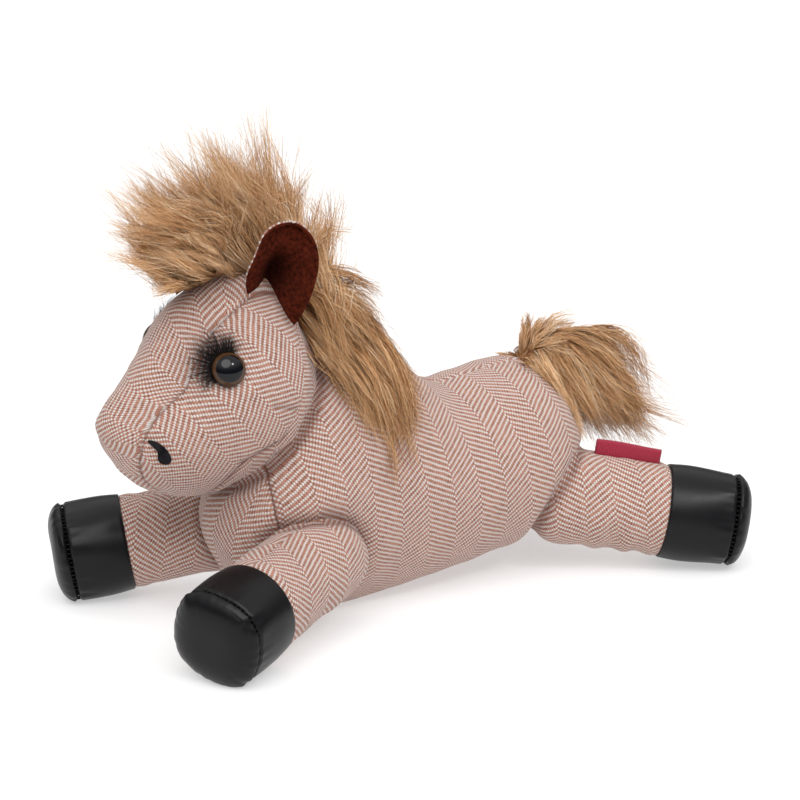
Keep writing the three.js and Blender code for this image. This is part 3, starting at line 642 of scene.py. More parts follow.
# The cloth of a stuffed form's side, laid flat from the middle of that side
def side_map(form, points, band):
    share = (points[..., 0] - form["front"]) / form["length"]
    middle, tall, wide = section_sizes(form, share)
    front = form["front"] + form["front_cap"]
    back = form["front"] + form["length"] - form["back_cap"]
    core = np.clip(points[..., 0], front, back)
    cap = np.where(points[..., 0] < core, form["front_cap"], form["back_cap"])
    away = np.stack(
        [(points[..., 0] - core) / cap, points[..., 1] / wide, (points[..., 2] - middle) / tall], -1
    )
    away /= np.maximum(np.linalg.norm(away, axis=-1, keepdims=True), 1e-9)
    turn = np.arccos(np.clip(np.abs(away[..., 1]), 0, 1))
    stretch = np.where(turn > 1e-3, turn / np.maximum(np.sin(turn), 1e-3), 1)
    x = core + (points[..., 0] - core) * stretch
    z = middle + (points[..., 2] - middle) * stretch
    return turned_map(x, z, band)


# Distance along the skin to where a field is 0, from its slope along the skin
def skin_distance(field, grid):
    slopes = [
        change / np.maximum(np.linalg.norm(step, axis=-1), 1e-6)
        for change, step in zip(steps_of(field), steps_of(grid))
    ]
    return field / np.maximum(np.hypot(*slopes), 0.08)


def segment_distance(points, start, end):
    start, end = np.array(start, float), np.array(end, float)
    run = end - start
    t = np.clip((points - start) @ run / (run @ run), 0, 1)
    return np.linalg.norm(points - start - t[..., None] * run, axis=-1)


# Body and head covers

# Which way the herringbone's bands run on each panel
BODY_BAND = (0.15, -0.989)
HEAD_BAND = (0.61, -0.79)
CHEST_BAND = (0.34, -0.94)
GUSSET_BAND = (-0.9, 0.433)
LEG_BAND = (0.26, 0.966)
EAR_BAND = (0.3, 0.95)
CHEST_SEAM_X = -86.5
HEAD_CENTRE = (-100, 103)
# Half the gusset's width, by the turn round the head's centre in degrees
GUSSET_TURNS = [-60, 0, 20, 80, 125, 167, 192, 202, 222, 245, 262, 300]
GUSSET_HALVES = [6, 8, 12, 16.8, 19.5, 20.8, 16.7, 16.5, 9.5, 3, -6, -10]
# The neck seam's place, by height
NECK_SEAM_Z = [50, 66, 77, 80, 84, 98, 118, 130, 145, 160]
NECK_SEAM_X = [-108, -106, -101, -94, -84, -77.3, -74.4, -73.5, -71, -69]


def head_turn(points):
    return np.arctan2(points[..., 2] - HEAD_CENTRE[1], points[..., 0] - HEAD_CENTRE[0])


def neck_seam_field(points):
    return points[..., 0] - np.interp(points[..., 2], NECK_SEAM_Z, NECK_SEAM_X)


def gusset_field(points):
    turn = np.degrees(head_turn(points))
    turn = np.where(turn < GUSSET_TURNS[0], turn + 360, turn)
    return smooth_table(turn, GUSSET_TURNS, GUSSET_HALVES) - np.abs(points[..., 1])


# Length along the head's middle line, by the turn round its centre
def profile_run(points):
    share = (1 - np.cos(np.linspace(0, math.pi, 1201))) / 2
    over = form_points(HEAD, share, 0 * share + math.pi / 2)
    under = form_points(HEAD, share[::-1], 0 * share - math.pi / 2)
    loop = np.concatenate([over[::-1], under[::-1]])
    turn = np.unwrap(head_turn(loop))
    run = np.concatenate([[0], np.cumsum(np.linalg.norm(np.diff(loop, axis=0), axis=1))])
    own = head_turn(points)
    own = np.where(own < turn[0], own + TURN, own)
    return np.interp(own, turn, run)


def smooth_table(value, places, heights):
    fine = np.linspace(places[0], places[-1], 721)
    rough = np.interp(fine, places, heights)
    kernel = np.hanning(41)
    padded = np.pad(rough, 20, mode="edge")
    return np.interp(value, fine, np.convolve(padded, kernel / kernel.sum(), "valid"))


head_bare, head_poles = form_grid(HEAD, 200, 216)
body_bare, body_poles = form_grid(BODY, 200, 208)
head_shape = lookup(*form_grid(HEAD, 90, 96))
body_shape = lookup(*form_grid(BODY, 90, 96))


def side_spot(x, z, side):
    spot, normal, _, _ = head_shape.ray_cast(Vector((x, side * 90, z)), Vector((0, -side, 0)))
    return np.array(spot), np.array(normal)


def spot_axes(outward):
    back = np.cross([0, 0, 1], outward)
    back /= np.linalg.norm(back)
    return back, np.cross(outward, back)


def make_head():
    grid = head_bare.copy()
    outward = outward_of(grid)
    gusset = skin_distance(gusset_field(grid), grid)
    neck = skin_distance(neck_seam_field(grid), grid)
    dart = segment_distance(grid * [1, 0, 1], (-91, 0, 99.5), (-79, 0, 96))
    dart = np.hypot(dart, 0.15 * np.maximum(0, 22 - np.abs(grid[..., 1])))
    to_body = clearance(grid, body_shape)
    low_neck = ease(grid[..., 2], 92, 80)
    push = 0.5 * lumps(grid, 30, 11) + 0.18 * lumps(grid, 9, 12)
    # The seams of the gusset, the neck and the cheek pull in, and the gusset's pucker
    push -= 0.7 * bell(gusset, 1.3) + 0.35 * bell(gusset, 4)
    push -= (0.3 + 0.7 * low_neck) * bell(neck, 1.6) + 1.6 * ease(neck, 2, 12)
    push -= 0.9 * bell(dart, 1.2)
    pucker = np.sin(grid[..., 2] * 1.9 + 0.7 * np.sin(grid[..., 2] * 0.6)) * bell(gusset, 2.6)
    push += 0.16 * pucker
    # The gusset is puffed over the forehead and muzzle
    push += 2.2 * bell(grid[..., 1], 11) * ease(outward[..., 2], -0.1, 0.5) * ease(-grid[..., 0], 78, 100)
    push -= 1.6 * bell(to_body, 2.6)
    # Each eye is drawn in and leaves a low ring round its socket
    for side in (-1, 1):
        spot, _ = side_spot(*EYE_SPOT, side)
        reach = np.linalg.norm(grid - spot, axis=-1)
        push -= 1.5 * bell(reach, 7.5) - 0.7 * bell(reach - 12, 4)
    grid = grid + outward * push[..., None]
    panel = np.maximum(gusset, neck)
    half = np.abs(grid[..., 1]).max(1, keepdims=True)
    over = half * np.arcsin(np.clip(grid[..., 1] / half, -1, 1))
    gusset_map = turned_map(over, profile_run(grid), GUSSET_BAND)
    neck_map = side_map(BODY, grid, BODY_BAND)
    panel_map = np.where((neck > gusset)[..., None], neck_map, gusset_map)
    # Painted shade along the gusset and neck seams, at the dart and where the head meets the body
    crease_shade = 0.5 * bell(gusset, 1.0) + 0.8 * bell(neck, 1.6) * low_neck
    crease_shade = crease_shade + 0.7 * bell(dart, 0.9) + bell(to_body, 2.0)
    # How strong each seam's groove and its painted shade are: the upper neck seam is faint
    sewn = np.where(np.abs(neck) < np.abs(gusset), 0.12 + 0.88 * low_neck, 1)
    piece = skin(
        "head_cloth", grid, head_poles, CLOTH,
        {"weave": closed(side_map(HEAD, grid, HEAD_BAND)), "panel_weave": closed(panel_map)},
        {"panel": panel * MM, "crease_shade": np.clip(crease_shade, 0, 1), "sewn": 0.5 * sewn},
    )
    finished(piece, "herringbone_cloth", "torso", "head_cover", "head_filling")
    return grid


def make_body():
    grid = body_bare.copy()
    outward = outward_of(grid)
    chest = skin_distance(CHEST_SEAM_X - grid[..., 0], grid)
    to_head = clearance(grid, head_shape)
    push = 0.6 * lumps(grid, 42, 21) + 0.2 * lumps(grid, 13, 22)
    # The chest seam and the seam down the back pull in, and so does the neck
    push -= 0.7 * bell(chest, 1.4)
    push -= 0.5 * bell(grid[..., 1], 1.3) * (outward[..., 2] > 0.3)
    push -= 1.8 * bell(to_head, 3)
    # Painted shade where the body meets the head, along the chest seam and round each leg
    crease_shade = bell(to_head, 2.2) + 0.4 * bell(chest, 1.2)
    # The body is drawn in where a leg is sewn on, and swells round it; painted shade darkens it round the
    # leg
    for name in LEGS:
        gap = leg_clearance(grid, name)
        push -= np.where(gap > 0, 2.4 * bell(gap, 3.2), 2.4)
        push += 0.8 * bell(gap - 9, 5)
        crease_shade += bell(gap, 1.6)
    grid = grid + outward * push[..., None]
    grid[..., 2] = np.maximum(grid[..., 2], 0.02)
    chest_map = turned_map(grid[..., 1] * 1.15, grid[..., 2], CHEST_BAND)
    piece = skin(
        "body_cloth", grid, body_poles, CLOTH,
        {"weave": closed(side_map(BODY, grid, BODY_BAND)), "panel_weave": closed(chest_map)},
        {"panel": chest * MM, "crease_shade": np.clip(crease_shade, 0, 1), "sewn": 0 * crease_shade + 1},
    )
    finished(piece, "herringbone_cloth", "torso", "body_cover", "body_filling")
    return grid


head_grid = make_head()
body_grid = make_body()
head_skin = lookup(head_grid, head_poles)
body_skin = lookup(body_grid[::2, ::2], body_poles)


# Legs, each worked out in a frame of its own with +X from the root to the hoof

def in_leg(name, local):
    turn, root = leg_matrix(name)
    return local @ turn.T + root


def turned_grid(outline, sides):
    outline = np.asarray(outline, float)
    angle = np.linspace(0, TURN, sides, endpoint=False)
    along = np.repeat(outline[:, :1], sides, 1)
    radius = np.repeat(outline[:, 1:], sides, 1)
    return along, radius, np.tile(angle, (len(outline), 1))


def ring_points(along, radius, angle):
    return np.stack([along, radius * np.cos(angle), radius * np.sin(angle)], -1)


# Angle between places round a leg and a line along it
def beside_line(angle, line):
    return np.abs(np.angle(np.exp(1j * (angle - line))))


# The floor presses flat what would reach below it
def rested(points):
    points = points.copy()
    points[..., 2] = np.maximum(points[..., 2], 0.03)
    return points


def make_leg(name):
    rim = LEGS[name]["rim"]
    root = LEG_RADII[0]
    ball = [(-root * math.cos(t), root * math.sin(t)) for t in np.linspace(0.06, math.pi / 2, 16)]
    run = np.linspace(0, 1, 62)[1:]
    tube = [(t * (rim - 0.3), float(smooth(LEG_RADII, np.array(t)))) for t in run]
    tuck = [(rim - 0.05, 18.9), (rim + 0.5, 18.2), (rim + 1.5, 16), (rim + 2, 10), (rim + 2.2, 4)]
    along, radius, angle = turned_grid([*ball, *tube, *tuck], 112)
    points = in_leg(name, ring_points(along, radius, angle))
    to_body = clearance(points, body_shape)
    push = 0.45 * lumps(points, 24, 31) + 0.16 * lumps(points, 9, 32)
    push *= ease(along, rim + 0.5, rim - 5)
    # The leg is drawn in at the body and along the seam on its top, and swells before its cuff
    push -= 1.7 * bell(to_body, 3.2)
    top_seam = beside_line(angle, math.pi / 2) * radius
    push -= 0.45 * bell(top_seam, 1.3) * (along < rim)
    push += 0.35 * bell(along - rim + 3.5, 2.6) * (along < rim)
    # Painted shade where the leg meets the body and along its top seam
    crease_shade = bell(to_body, 2.0) + 0.25 * bell(top_seam, 1.0)
    # The haunch stands higher than the tube
    if name.startswith("hind"):
        upper = np.maximum(0, np.sin(angle))
        push += upper**2 * (6 * bell(along + 4, 9) + 1.9 * ease(along, -5, 5) * ease(rim - along, 0, 8))
    # A dent in the near hind leg's side, with a swell round it
    if name == "hindleg_left":
        dent = np.hypot(along - 22, (beside_line(angle, -2.35) * radius - 4) * 0.45)
        push -= 1.1 * bell(dent, 3.6)
        push += 0.7 * bell(dent - 7, 3)
    radius = radius + push * (radius > 6)
    points = rested(in_leg(name, ring_points(along, radius, angle)))
    poles = in_leg(name, np.array([[-root, 0, 0], [rim + 2.2, 0, 0]]))
    # The cloth runs down both sides alike from the seam on top
    wide = np.concatenate([angle, angle[:, :1] + TURN], 1) - math.pi / 2
    from_seam = np.abs(np.where(wide > math.pi, wide - TURN, wide))
    uv = turned_map(closed(along), from_seam * LEG_CLOTH_RADIUS, LEG_BAND)
    piece = skin(
        f"{name}_cloth", points, poles, CLOTH,
        {"weave": uv, "panel_weave": uv},
        {"panel": 0 * along - 1, "crease_shade": np.clip(crease_shade, 0, 1), "sewn": 0 * along},
    )
    finished(piece, "herringbone_cloth", None, f"{name}_cover", f"{name}_filling")
    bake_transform(piece)


def pucker_wave(angle, seed):
    rng = np.random.default_rng(seed)
    wave = sum(np.sin(count * angle + rng.uniform(0, 6.3)) for count in (9, 13, 17, 22, 29))
    return wave / 3


# A hoof's rings: a little squared towards its sole, with the gathers of its sewn seam
def hoof_grid(outline, seed, seam_at):
    along, radius, angle = turned_grid(outline, 120)
    square = 1 + HOOF_SQUARE * np.cos(4 * (angle - 0.5)) * ease(along, seam_at - 24, seam_at)
    gather = pucker_wave(angle, seed) * bell(along - seam_at, 6) * np.clip(radius / 12, 0, 1)
    return along, radius * square + HOOF_GATHER * gather, angle


def make_hoof(name, seed):
    rim = LEGS[name]["rim"]
    seam = rim + LEGS[name]["cuff"]
    wall = [
        (rim + t * (seam - rim - 1.6), float(smooth([20.0, 20.6, 20.5, 20.0], np.array(t))))
        for t in np.linspace(0.04, 1, 30)
    ]
    cuff = [
        (rim + 3, 6), (rim + 2.6, 14), (rim + 1.2, 18.2), (rim + 0.25, 19.0), (rim + 0.1, 19.5),
        (rim + 0.4, 19.9), *wall, (seam - 0.9, 19.6), (seam - 0.35, 18.9), (seam - 0.3, 17.9),
        (seam - 1.2, 16), (seam - 2, 6),
    ]
    dome = [
        (seam + SOLE_DOME * math.sin(t), HOOF_RADIUS * math.cos(t) ** 0.6)
        for t in np.linspace(0.2, math.pi / 2 - 0.02, 30)
    ]
    sole = [
        (seam - 1, 6), (seam - 0.6, 16), (seam + 0.15, 17.9), (seam + 0.35, 18.9), (seam + 0.8, 19.6),
        *dome,
    ]
    for part, outline, ends, own_seed in (
        ("cuff", cuff, (rim + 3.0, seam - 2.0), seed),
        ("sole", sole, (seam - 1.0, seam + SOLE_DOME - 0.8), seed + 3),
    ):
        along, radius, angle = hoof_grid(outline, own_seed, seam)
        if part == "sole":
            # The middle of the sole is sunk along a broad crease
            crease = bell(radius * np.sin(angle - 0.6), 9) * bell(radius, 16)
            along = along - 0.8 * crease * (along > seam + 4)
        points = rested(in_leg(name, ring_points(along, radius, angle)))
        poles = in_leg(name, np.array([[end, 0, 0] for end in ends]))
        piece = skin(f"{name}_{part}", points, poles, LEATHER)
        finished(piece, "black_leatherette", name, f"{name}_hoof_{part}")
    stitch_ring(name, seam, seed)


# Trees of geometry nodes

def grown_by(tree, host, values, name):
    modifier = host.modifiers.new("grow", "NODES")
    modifier.node_group = tree
    for item in tree.interface.items_tree:
        if item.in_out == "INPUT" and item.name in values:
            modifier[item.identifier] = values[item.name]
    bpy.context.view_layer.update()
    evaluated = host.evaluated_get(bpy.context.evaluated_depsgraph_get())
    mesh = bpy.data.meshes.new_from_object(evaluated)
    mesh.name = name
    host.modifiers.remove(modifier)
    bpy.data.objects.remove(host)
    return in_scene(name, mesh)


# A strand from each point: a line bent from its root over its bend to its tip, tapered and frizzed
def strand_tree():
    nodes, given, out = new_group(
        "GeometryNodeTree", "strands",
        {"Geometry": GEOMETRY, "Steps": 7, "Thickness": 0.0002, "Frizz": 0.001, "Frizz Scale": 140.0,
         "Material": MATERIAL},
        {"Geometry": GEOMETRY},
    )
    line = nodes.put("GeometryNodeCurvePrimitiveLine", {"End": (0.0, 0.0, 1.0)})
    even = nodes.put("GeometryNodeResampleCurve", {"Curve": line.outputs[0], "Count": given["Steps"]})
    factor = nodes.put("GeometryNodeSplineParameter").outputs["Factor"]
    marked = nodes.put(
        "GeometryNodeStoreNamedAttribute",
        {"Geometry": even.outputs[0], "Name": "strand_run", "Value": factor},
        data_type="FLOAT", domain="POINT",
    )
    spread = nodes.put(
        "GeometryNodeInstanceOnPoints", {"Points": given["Geometry"], "Instance": marked.outputs[0]}
    )
    loose = nodes.put("GeometryNodeRealizeInstances", {"Geometry": spread.outputs[0]})
    run = nodes.named("strand_run")
    back = nodes.sums("SUBTRACT", 1.0, run)
    root, bend, tip = (
        nodes.vectors("SCALE", nodes.named(label, "FLOAT_VECTOR"), weight)
        for label, weight in (
            ("strand_root", nodes.times(back, back)),
            ("strand_bend", nodes.times(back, run, 2.0)),
            ("strand_tip", nodes.times(run, run)),
        )
    )
    place = nodes.vectors("ADD", nodes.vectors("ADD", root, bend), tip)
    seed = nodes.times(nodes.named("strand_seed"), 37.0)
    cloud = nodes.put(
        "ShaderNodeTexNoise", {"Vector": place, "W": seed, "Scale": given["Frizz Scale"], "Detail": 1.0},
        noise_dimensions="4D",
    )
    centred = nodes.vectors("SUBTRACT", cloud.outputs["Color"], (0.5, 0.5, 0.5))
    frizz = nodes.vectors("SCALE", centred, nodes.times(given["Frizz"], nodes.power(run, 0.7)))
    moved = nodes.vectors("ADD", place, frizz)
    bent = nodes.put("GeometryNodeSetPosition", {"Geometry": loose.outputs[0], "Position": moved})
    taper = nodes.power(nodes.sums("SUBTRACT", 1.06, run), 0.6)
    size = nodes.times(taper, given["Thickness"], nodes.named("strand_width"))
    sized = nodes.put("GeometryNodeSetCurveRadius", {"Curve": bent.outputs[0], "Radius": size})
    ring = nodes.put("GeometryNodeCurvePrimitiveCircle", {"Resolution": 3, "Radius": 1.0})
    tube = nodes.put(
        "GeometryNodeCurveToMesh",
        {"Curve": sized.outputs[0], "Profile Curve": ring.outputs[0], "Fill Caps": True},
    )
    if "Scale" in tube.inputs:
        nodes.feed(tube.inputs["Scale"], size)
    soft = nodes.put("GeometryNodeSetShadeSmooth", {"Geometry": tube.outputs[0], "Shade Smooth": True})
    nodes.coat(soft.outputs[0], given["Material"], out)
    return nodes.tree


# A stitch at even steps along a path, laid across it
def stitch_tree():
    nodes, given, out = new_group(
        "GeometryNodeTree", "stitches",
        {"Geometry": GEOMETRY, "Count": 44, "Stitch Length": 0.002, "Stitch Radius": 0.0003,
         "Material": MATERIAL},
        {"Geometry": GEOMETRY},
    )
    path = nodes.put("GeometryNodeMeshToCurve", {"Mesh": given["Geometry"]})
    even = nodes.put("GeometryNodeCurveToPoints", {"Curve": path.outputs[0], "Count": given["Count"]})
    thread = nodes.put(
        "GeometryNodeMeshCylinder",
        {"Vertices": 6, "Side Segments": 1,
         "Radius": given["Stitch Radius"], "Depth": given["Stitch Length"]},
    )
    across = nodes.named("across", "FLOAT_VECTOR")
    turn = nodes.put("FunctionNodeAlignRotationToVector", {"Vector": across}, axis="Z")
    rows = nodes.put(
        "GeometryNodeInstanceOnPoints",
        {"Points": even.outputs["Points"], "Instance": thread.outputs["Mesh"], "Rotation": turn.outputs[0]},
    )
    nodes.coat(rows.outputs[0], given["Material"], out)
    return nodes.tree


STRANDS = strand_tree()
STITCHES = stitch_tree()


def stitch_ring(name, seam, seed):
    angle = np.linspace(0, TURN, 121)[:-1]
    square = 1 + HOOF_SQUARE * np.cos(4 * (angle - 0.5))
    radius = 19.1 * square + HOOF_GATHER * pucker_wave(angle, seed)
    path = placed(rested(in_leg(name, ring_points(0 * angle + seam + 0.05, radius, angle))))
    edges = [(i, (i + 1) % len(path)) for i in range(len(path))]
    host = in_scene("stitch_path", new_mesh("stitch_path", path, edges, []))
    across = leg_matrix(name)[0] @ np.array([1.0, 0, 0])
    set_values(host, "across", np.tile(across, (len(path), 1)))
    values = {"Count": 62, "Stitch Length": 0.0013, "Stitch Radius": 0.00019, "Material": THREAD}
    piece = grown_by(STITCHES, host, values, f"{name}_stitches")
    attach(piece, name)


for number, name in enumerate(LEGS):
    make_leg(name)
    make_hoof(name, 50 + 7 * number)


# Fur

# How strands gather in locks. Spread, unevenness, curl and shortening are shares of a strand's length.
LOCKS = {
    "wild": 1.12, "taper": 2.2, "tone": 0, "rests_on": [], "between_ears": None, "floor": 1,
    "steps": 7, "thickness": 0.16, "frizz_scale": 90.0, "material": FUR,
}
FRONT_REACH, BACK_REACH, TOP_REACH = -164, 158, 212
SKIN_GAP = 1.5


def guide_parts(guides):
    return (np.array(part, float) for part in zip(*guides))


def guide_blend(places, spots, bends, tips):
    away = np.linalg.norm(places[:, None] - spots[None], axis=-1) + 0.05
    weight = away ** -2.5
    weight /= weight.sum(1, keepdims=True)
    return weight @ bends, weight @ tips


# Guides give a place on the strip of roots, and where a strand from there bends and ends
def from_guides(places, roots, guides):
    spots, bends, tips = guide_parts(guides)
    starts = roots[np.argmin(np.linalg.norm(places[:, None] - spots[None], axis=-1), axis=0)]
    bends, tips = guide_blend(places, spots, bends - starts, tips - starts)
    return roots + bends, roots + tips


def clear_of(points, shape):
    out = points.copy()
    for index, point in enumerate(points):
        spot, normal, _, _ = shape.find_nearest(Vector(point))
        if (Vector(point) - spot).dot(normal) < SKIN_GAP:
            out[index] = spot + normal * SKIN_GAP
    return out


# Strands in locks: each strand leans to the tip of its small lock, and that to its large one
def grow_locks(name, roots, bends, tips, look, seed, marks=None):
    rng = np.random.default_rng(seed)
    count = len(roots)
    lengths = np.linalg.norm(tips - roots, axis=1)
    tips = tips + rng.normal(size=(count, 3)) * lengths[:, None] * look["spread"]
    stray = rng.random(count) < look["stray"]
    held = np.where(stray, 0.15, look["hold"] * rng.uniform(0.75, 1, count))
    for lock_count, pull in ((look["locks"], 0.7), (look["tufts"], 0.9)):
        heads = rng.choice(count, lock_count, replace=False)
        nearest = np.argmin(np.linalg.norm(roots[:, None] - roots[heads][None], axis=-1), axis=1)
        head = heads[nearest]
        reach = 1 + rng.normal(size=lock_count)[nearest] * look["uneven"]
        lead_tip = roots[head] + (tips[head] - roots[head]) * reach[:, None]
        amount = (held * pull)[:, None]
        tips = tips * (1 - amount) + (lead_tip + (roots - roots[head]) * 0.06) * amount
        bends = bends * (1 - amount * 0.6) + (bends[head] + (roots - roots[head]) * 0.5) * amount * 0.6
        curl = rng.normal(size=(lock_count, 3))[nearest] * look["curl"] * lengths[:, None]
        bends = bends + curl
        tips = tips - 0.3 * curl
        tone_lead = rng.random(lock_count)[nearest]
    loose_tips = roots + (tips - roots) * look["wild"] + rng.normal(size=(count, 3)) * 3
    tips = np.where(stray[:, None], loose_tips, tips)
    short = rng.random(count) ** look["taper"] * look["short"]
    tips = tips + (bends - tips) * short[:, None]
    for shape in look["rests_on"]:
        bends = clear_of(bends, shape)
        tips = clear_of(tips, shape)
    if look["between_ears"]:
        back, front, top, side = look["between_ears"]
        for ends in (bends, tips):
            beside = (ends[:, 0] > front) & (ends[:, 0] < back) & (ends[:, 2] < top)
            ends[:, 1] = np.where(beside, np.clip(ends[:, 1], -side, side), ends[:, 1])
    tips[:, 2] = np.clip(tips[:, 2], look["floor"], TOP_REACH)
    tips[:, 0] = np.clip(tips[:, 0], FRONT_REACH, BACK_REACH)
    # A look's tone shifts its strands lighter or darker; on the mane that shift is painted shade
    tone = np.clip(0.5 + look["tone"] + 0.22 * rng.normal(size=count) + 0.42 * (tone_lead - 0.5), 0.06, 1)
    tone = np.where(rng.random(count) < look["black"], 0.01, tone)
    host = in_scene(f"{name}_roots", new_mesh(f"{name}_roots", placed(roots), [], []))
    fields = {
        "strand_root": placed(roots), "strand_bend": placed(bends), "strand_tip": placed(tips),
        **(marks or {}), "strand_tone": tone, "strand_seed": rng.random(count),
        "strand_width": rng.uniform(0.6, 1.25, count) * np.where(stray, 0.6, 1),
    }
    for label, field in fields.items():
        set_values(host, label, field)
    values = {
        "Steps": look["steps"], "Thickness": look["thickness"] * MM, "Frizz": look["frizz"] * MM,
        "Frizz Scale": look["frizz_scale"], "Material": look["material"],
    }
    return grown_by(STRANDS, host, values, name)


# The place on a form straight below or nearest to a spot over it
def drop_on(shape, x, y, lift=0.5):
    spot, normal, _, _ = shape.ray_cast(Vector((x, y, 240)), Vector((0, 0, -1)))
    if spot is None:
        spot, normal, _, _ = shape.find_nearest(Vector((x, y, 150)))
    return np.array(spot) + np.array(normal) * lift


CROWN_LOOK = LOCKS | {
    "spread": 0.15, "stray": 0.14, "hold": 0.7, "locks": 34, "tufts": 150, "uneven": 0.27, "short": 0.9,
    "taper": 1.6, "curl": 0.13, "black": 0.012, "wild": 1.32, "frizz": 7.0,
    "between_ears": (-66, -100, 168, 10),
}
CROWN_GUIDES = [
    ((-1, 0), (-124, -8, 147), (-142, -14, 148)),
    ((0, 0), (-128, 0, 152), (-150, -6, 158)),
    ((1, 0), (-122, 12, 154), (-140, 18, 160)),
    ((-1, 0.25), (-118, -8, 153), (-146, -16, 157)),
    ((0, 0.25), (-116, 0, 164), (-148, -6, 170)),
    ((1, 0.25), (-106, 14, 164), (-126, 20, 178)),
    ((-1, 0.5), (-106, -8, 163), (-136, -18, 173)),
    ((0, 0.5), (-98, 0, 174), (-128, -4, 187)),
    ((1, 0.5), (-88, 16, 170), (-100, 20, 186)),
    ((-1, 0.68), (-84, -8, 170), (-104, -12, 188)),
    ((0, 0.68), (-76, 0, 176), (-90, 0, 194)),
    ((1, 0.68), (-70, 18, 168), (-72, 22, 186)),
    ((-1, 0.82), (-62, -14, 164), (-60, -12, 184)),
    ((0, 0.82), (-60, 0, 168), (-56, 0, 186)),
    ((1, 0.82), (-54, 16, 158), (-46, 20, 172)),
    ((-1, 1), (-44, -18, 158), (-30, -18, 160)),
    ((0, 1), (-42, -2, 160), (-27, -4, 167)),
    ((1, 1), (-38, 14, 146), (-24, 16, 156)),
]
CROWN_FRONT = -109
CROWN_BACK = -52
CROWN_STRANDS = 5100


def crown_roots(seed, low, high):
    rng = np.random.default_rng(seed)
    across = rng.uniform(-1, 1, CROWN_STRANDS)
    run = rng.uniform(low, high, CROWN_STRANDS)
    x = CROWN_FRONT + run * (CROWN_BACK - CROWN_FRONT)
    half = smooth([5, 8, 11, 12.5, 13, 13], run)
    middle = smooth([5, 4.5, 4, 2, 0, 0], run)
    roots = np.array([drop_on(head_skin, a, b) for a, b in zip(x, middle + across * half)])
    return roots, np.stack([across, run], 1)


def make_crown():
    for name, seed, low, high in (
        ("crown_fur_front", 61, 0.0, 0.4),
        ("crown_fur_middle", 62, 0.3, 0.75),
        ("crown_fur_back", 63, 0.62, 1.0),
    ):
        roots, places = crown_roots(seed, low, high)
        bends, tips = from_guides(places, roots, CROWN_GUIDES)
        piece = grow_locks(name, roots, bends, tips, CROWN_LOOK, seed)
        finished(piece, "camel_fur", "torso", "crown_fur")


# The mane's strands are set darker as painted shade from the ear and crown over it
MANE_LOOK = LOCKS | {
    "spread": 0.11, "stray": 0.12, "hold": 0.66, "locks": 32, "tufts": 160, "uneven": 0.12, "short": 0.55,
    "rests_on": [head_skin, body_skin], "curl": 0.11, "black": 0.05, "frizz": 6.0, "tone": -0.17,
}
MANE_LINE = [(-68, 0, 143), (-58, 0, 133), (-48, -1, 122), (-40, -2, 117), (-32, -3, 114)]
MANE_GUIDES = [
    ((-1, 0), (-64, -24, 136), (-62, -29, 118)),
    ((0, 0), (-47, -14, 150), (-31, -13, 136)),
    ((1, 0), (-48, 14, 141), (-34, 16, 128)),
    ((-1, 0.3), (-60, -27, 122), (-54, -34, 94)),
    ((0, 0.3), (-42, -16, 134), (-25, -20, 108)),
    ((1, 0.3), (-40, 16, 130), (-22, 18, 114)),
    ((-1, 0.6), (-54, -30, 106), (-44, -37, 78)),
    ((0, 0.6), (-36, -22, 116), (-28, -28, 84)),
    ((1, 0.6), (-32, 18, 118), (-18, 20, 100)),
    ((-1, 1), (-46, -33, 94), (-36, -39, 64)),
    ((0, 1), (-34, -26, 100), (-29, -36, 66)),
    ((1, 1), (-24, 12, 110), (-14, 14, 98)),
]
MANE_STRANDS = 4600


def make_mane():
    for name, seed, low, high in (("mane_fur_upper", 71, 0.0, 0.55), ("mane_fur_lower", 72, 0.45, 1.0)):
        rng = np.random.default_rng(seed)
        across = rng.uniform(-1, 1, MANE_STRANDS)
        run = rng.uniform(low, high, MANE_STRANDS)
        line = smooth_run(MANE_LINE, run)
        roots = line + np.stack([0 * across, across * 10, -3.2 * across**2], 1)
        for index, root in enumerate(roots):
            on_head = head_skin.find_nearest(Vector(root))
            on_body = body_skin.find_nearest(Vector(root))
            spot, normal, _, _ = on_head if on_head[3] < on_body[3] else on_body
            roots[index] = np.array(spot) + 0.5 * np.array(normal)
        bends, tips = from_guides(np.stack([across, run], 1), roots, MANE_GUIDES)
        piece = grow_locks(name, roots, bends, tips, MANE_LOOK, seed)
        finished(piece, "camel_fur", "torso", "mane_fur")


TAIL_LOOK = LOCKS | {
    "spread": 0.15, "stray": 0.12, "hold": 0.62, "locks": 40, "tufts": 180, "uneven": 0.16, "short": 0.6,
    "rests_on": [body_skin], "curl": 0.11, "black": 0.015, "frizz": 6.0, "tone": -0.07, "floor": 12,
}
TAIL_CORE = [(-2, 0, -0.5), (10, 0, 2.6), (18, 0, 4.4), (25, 0, 5), (32, 0, 3)]
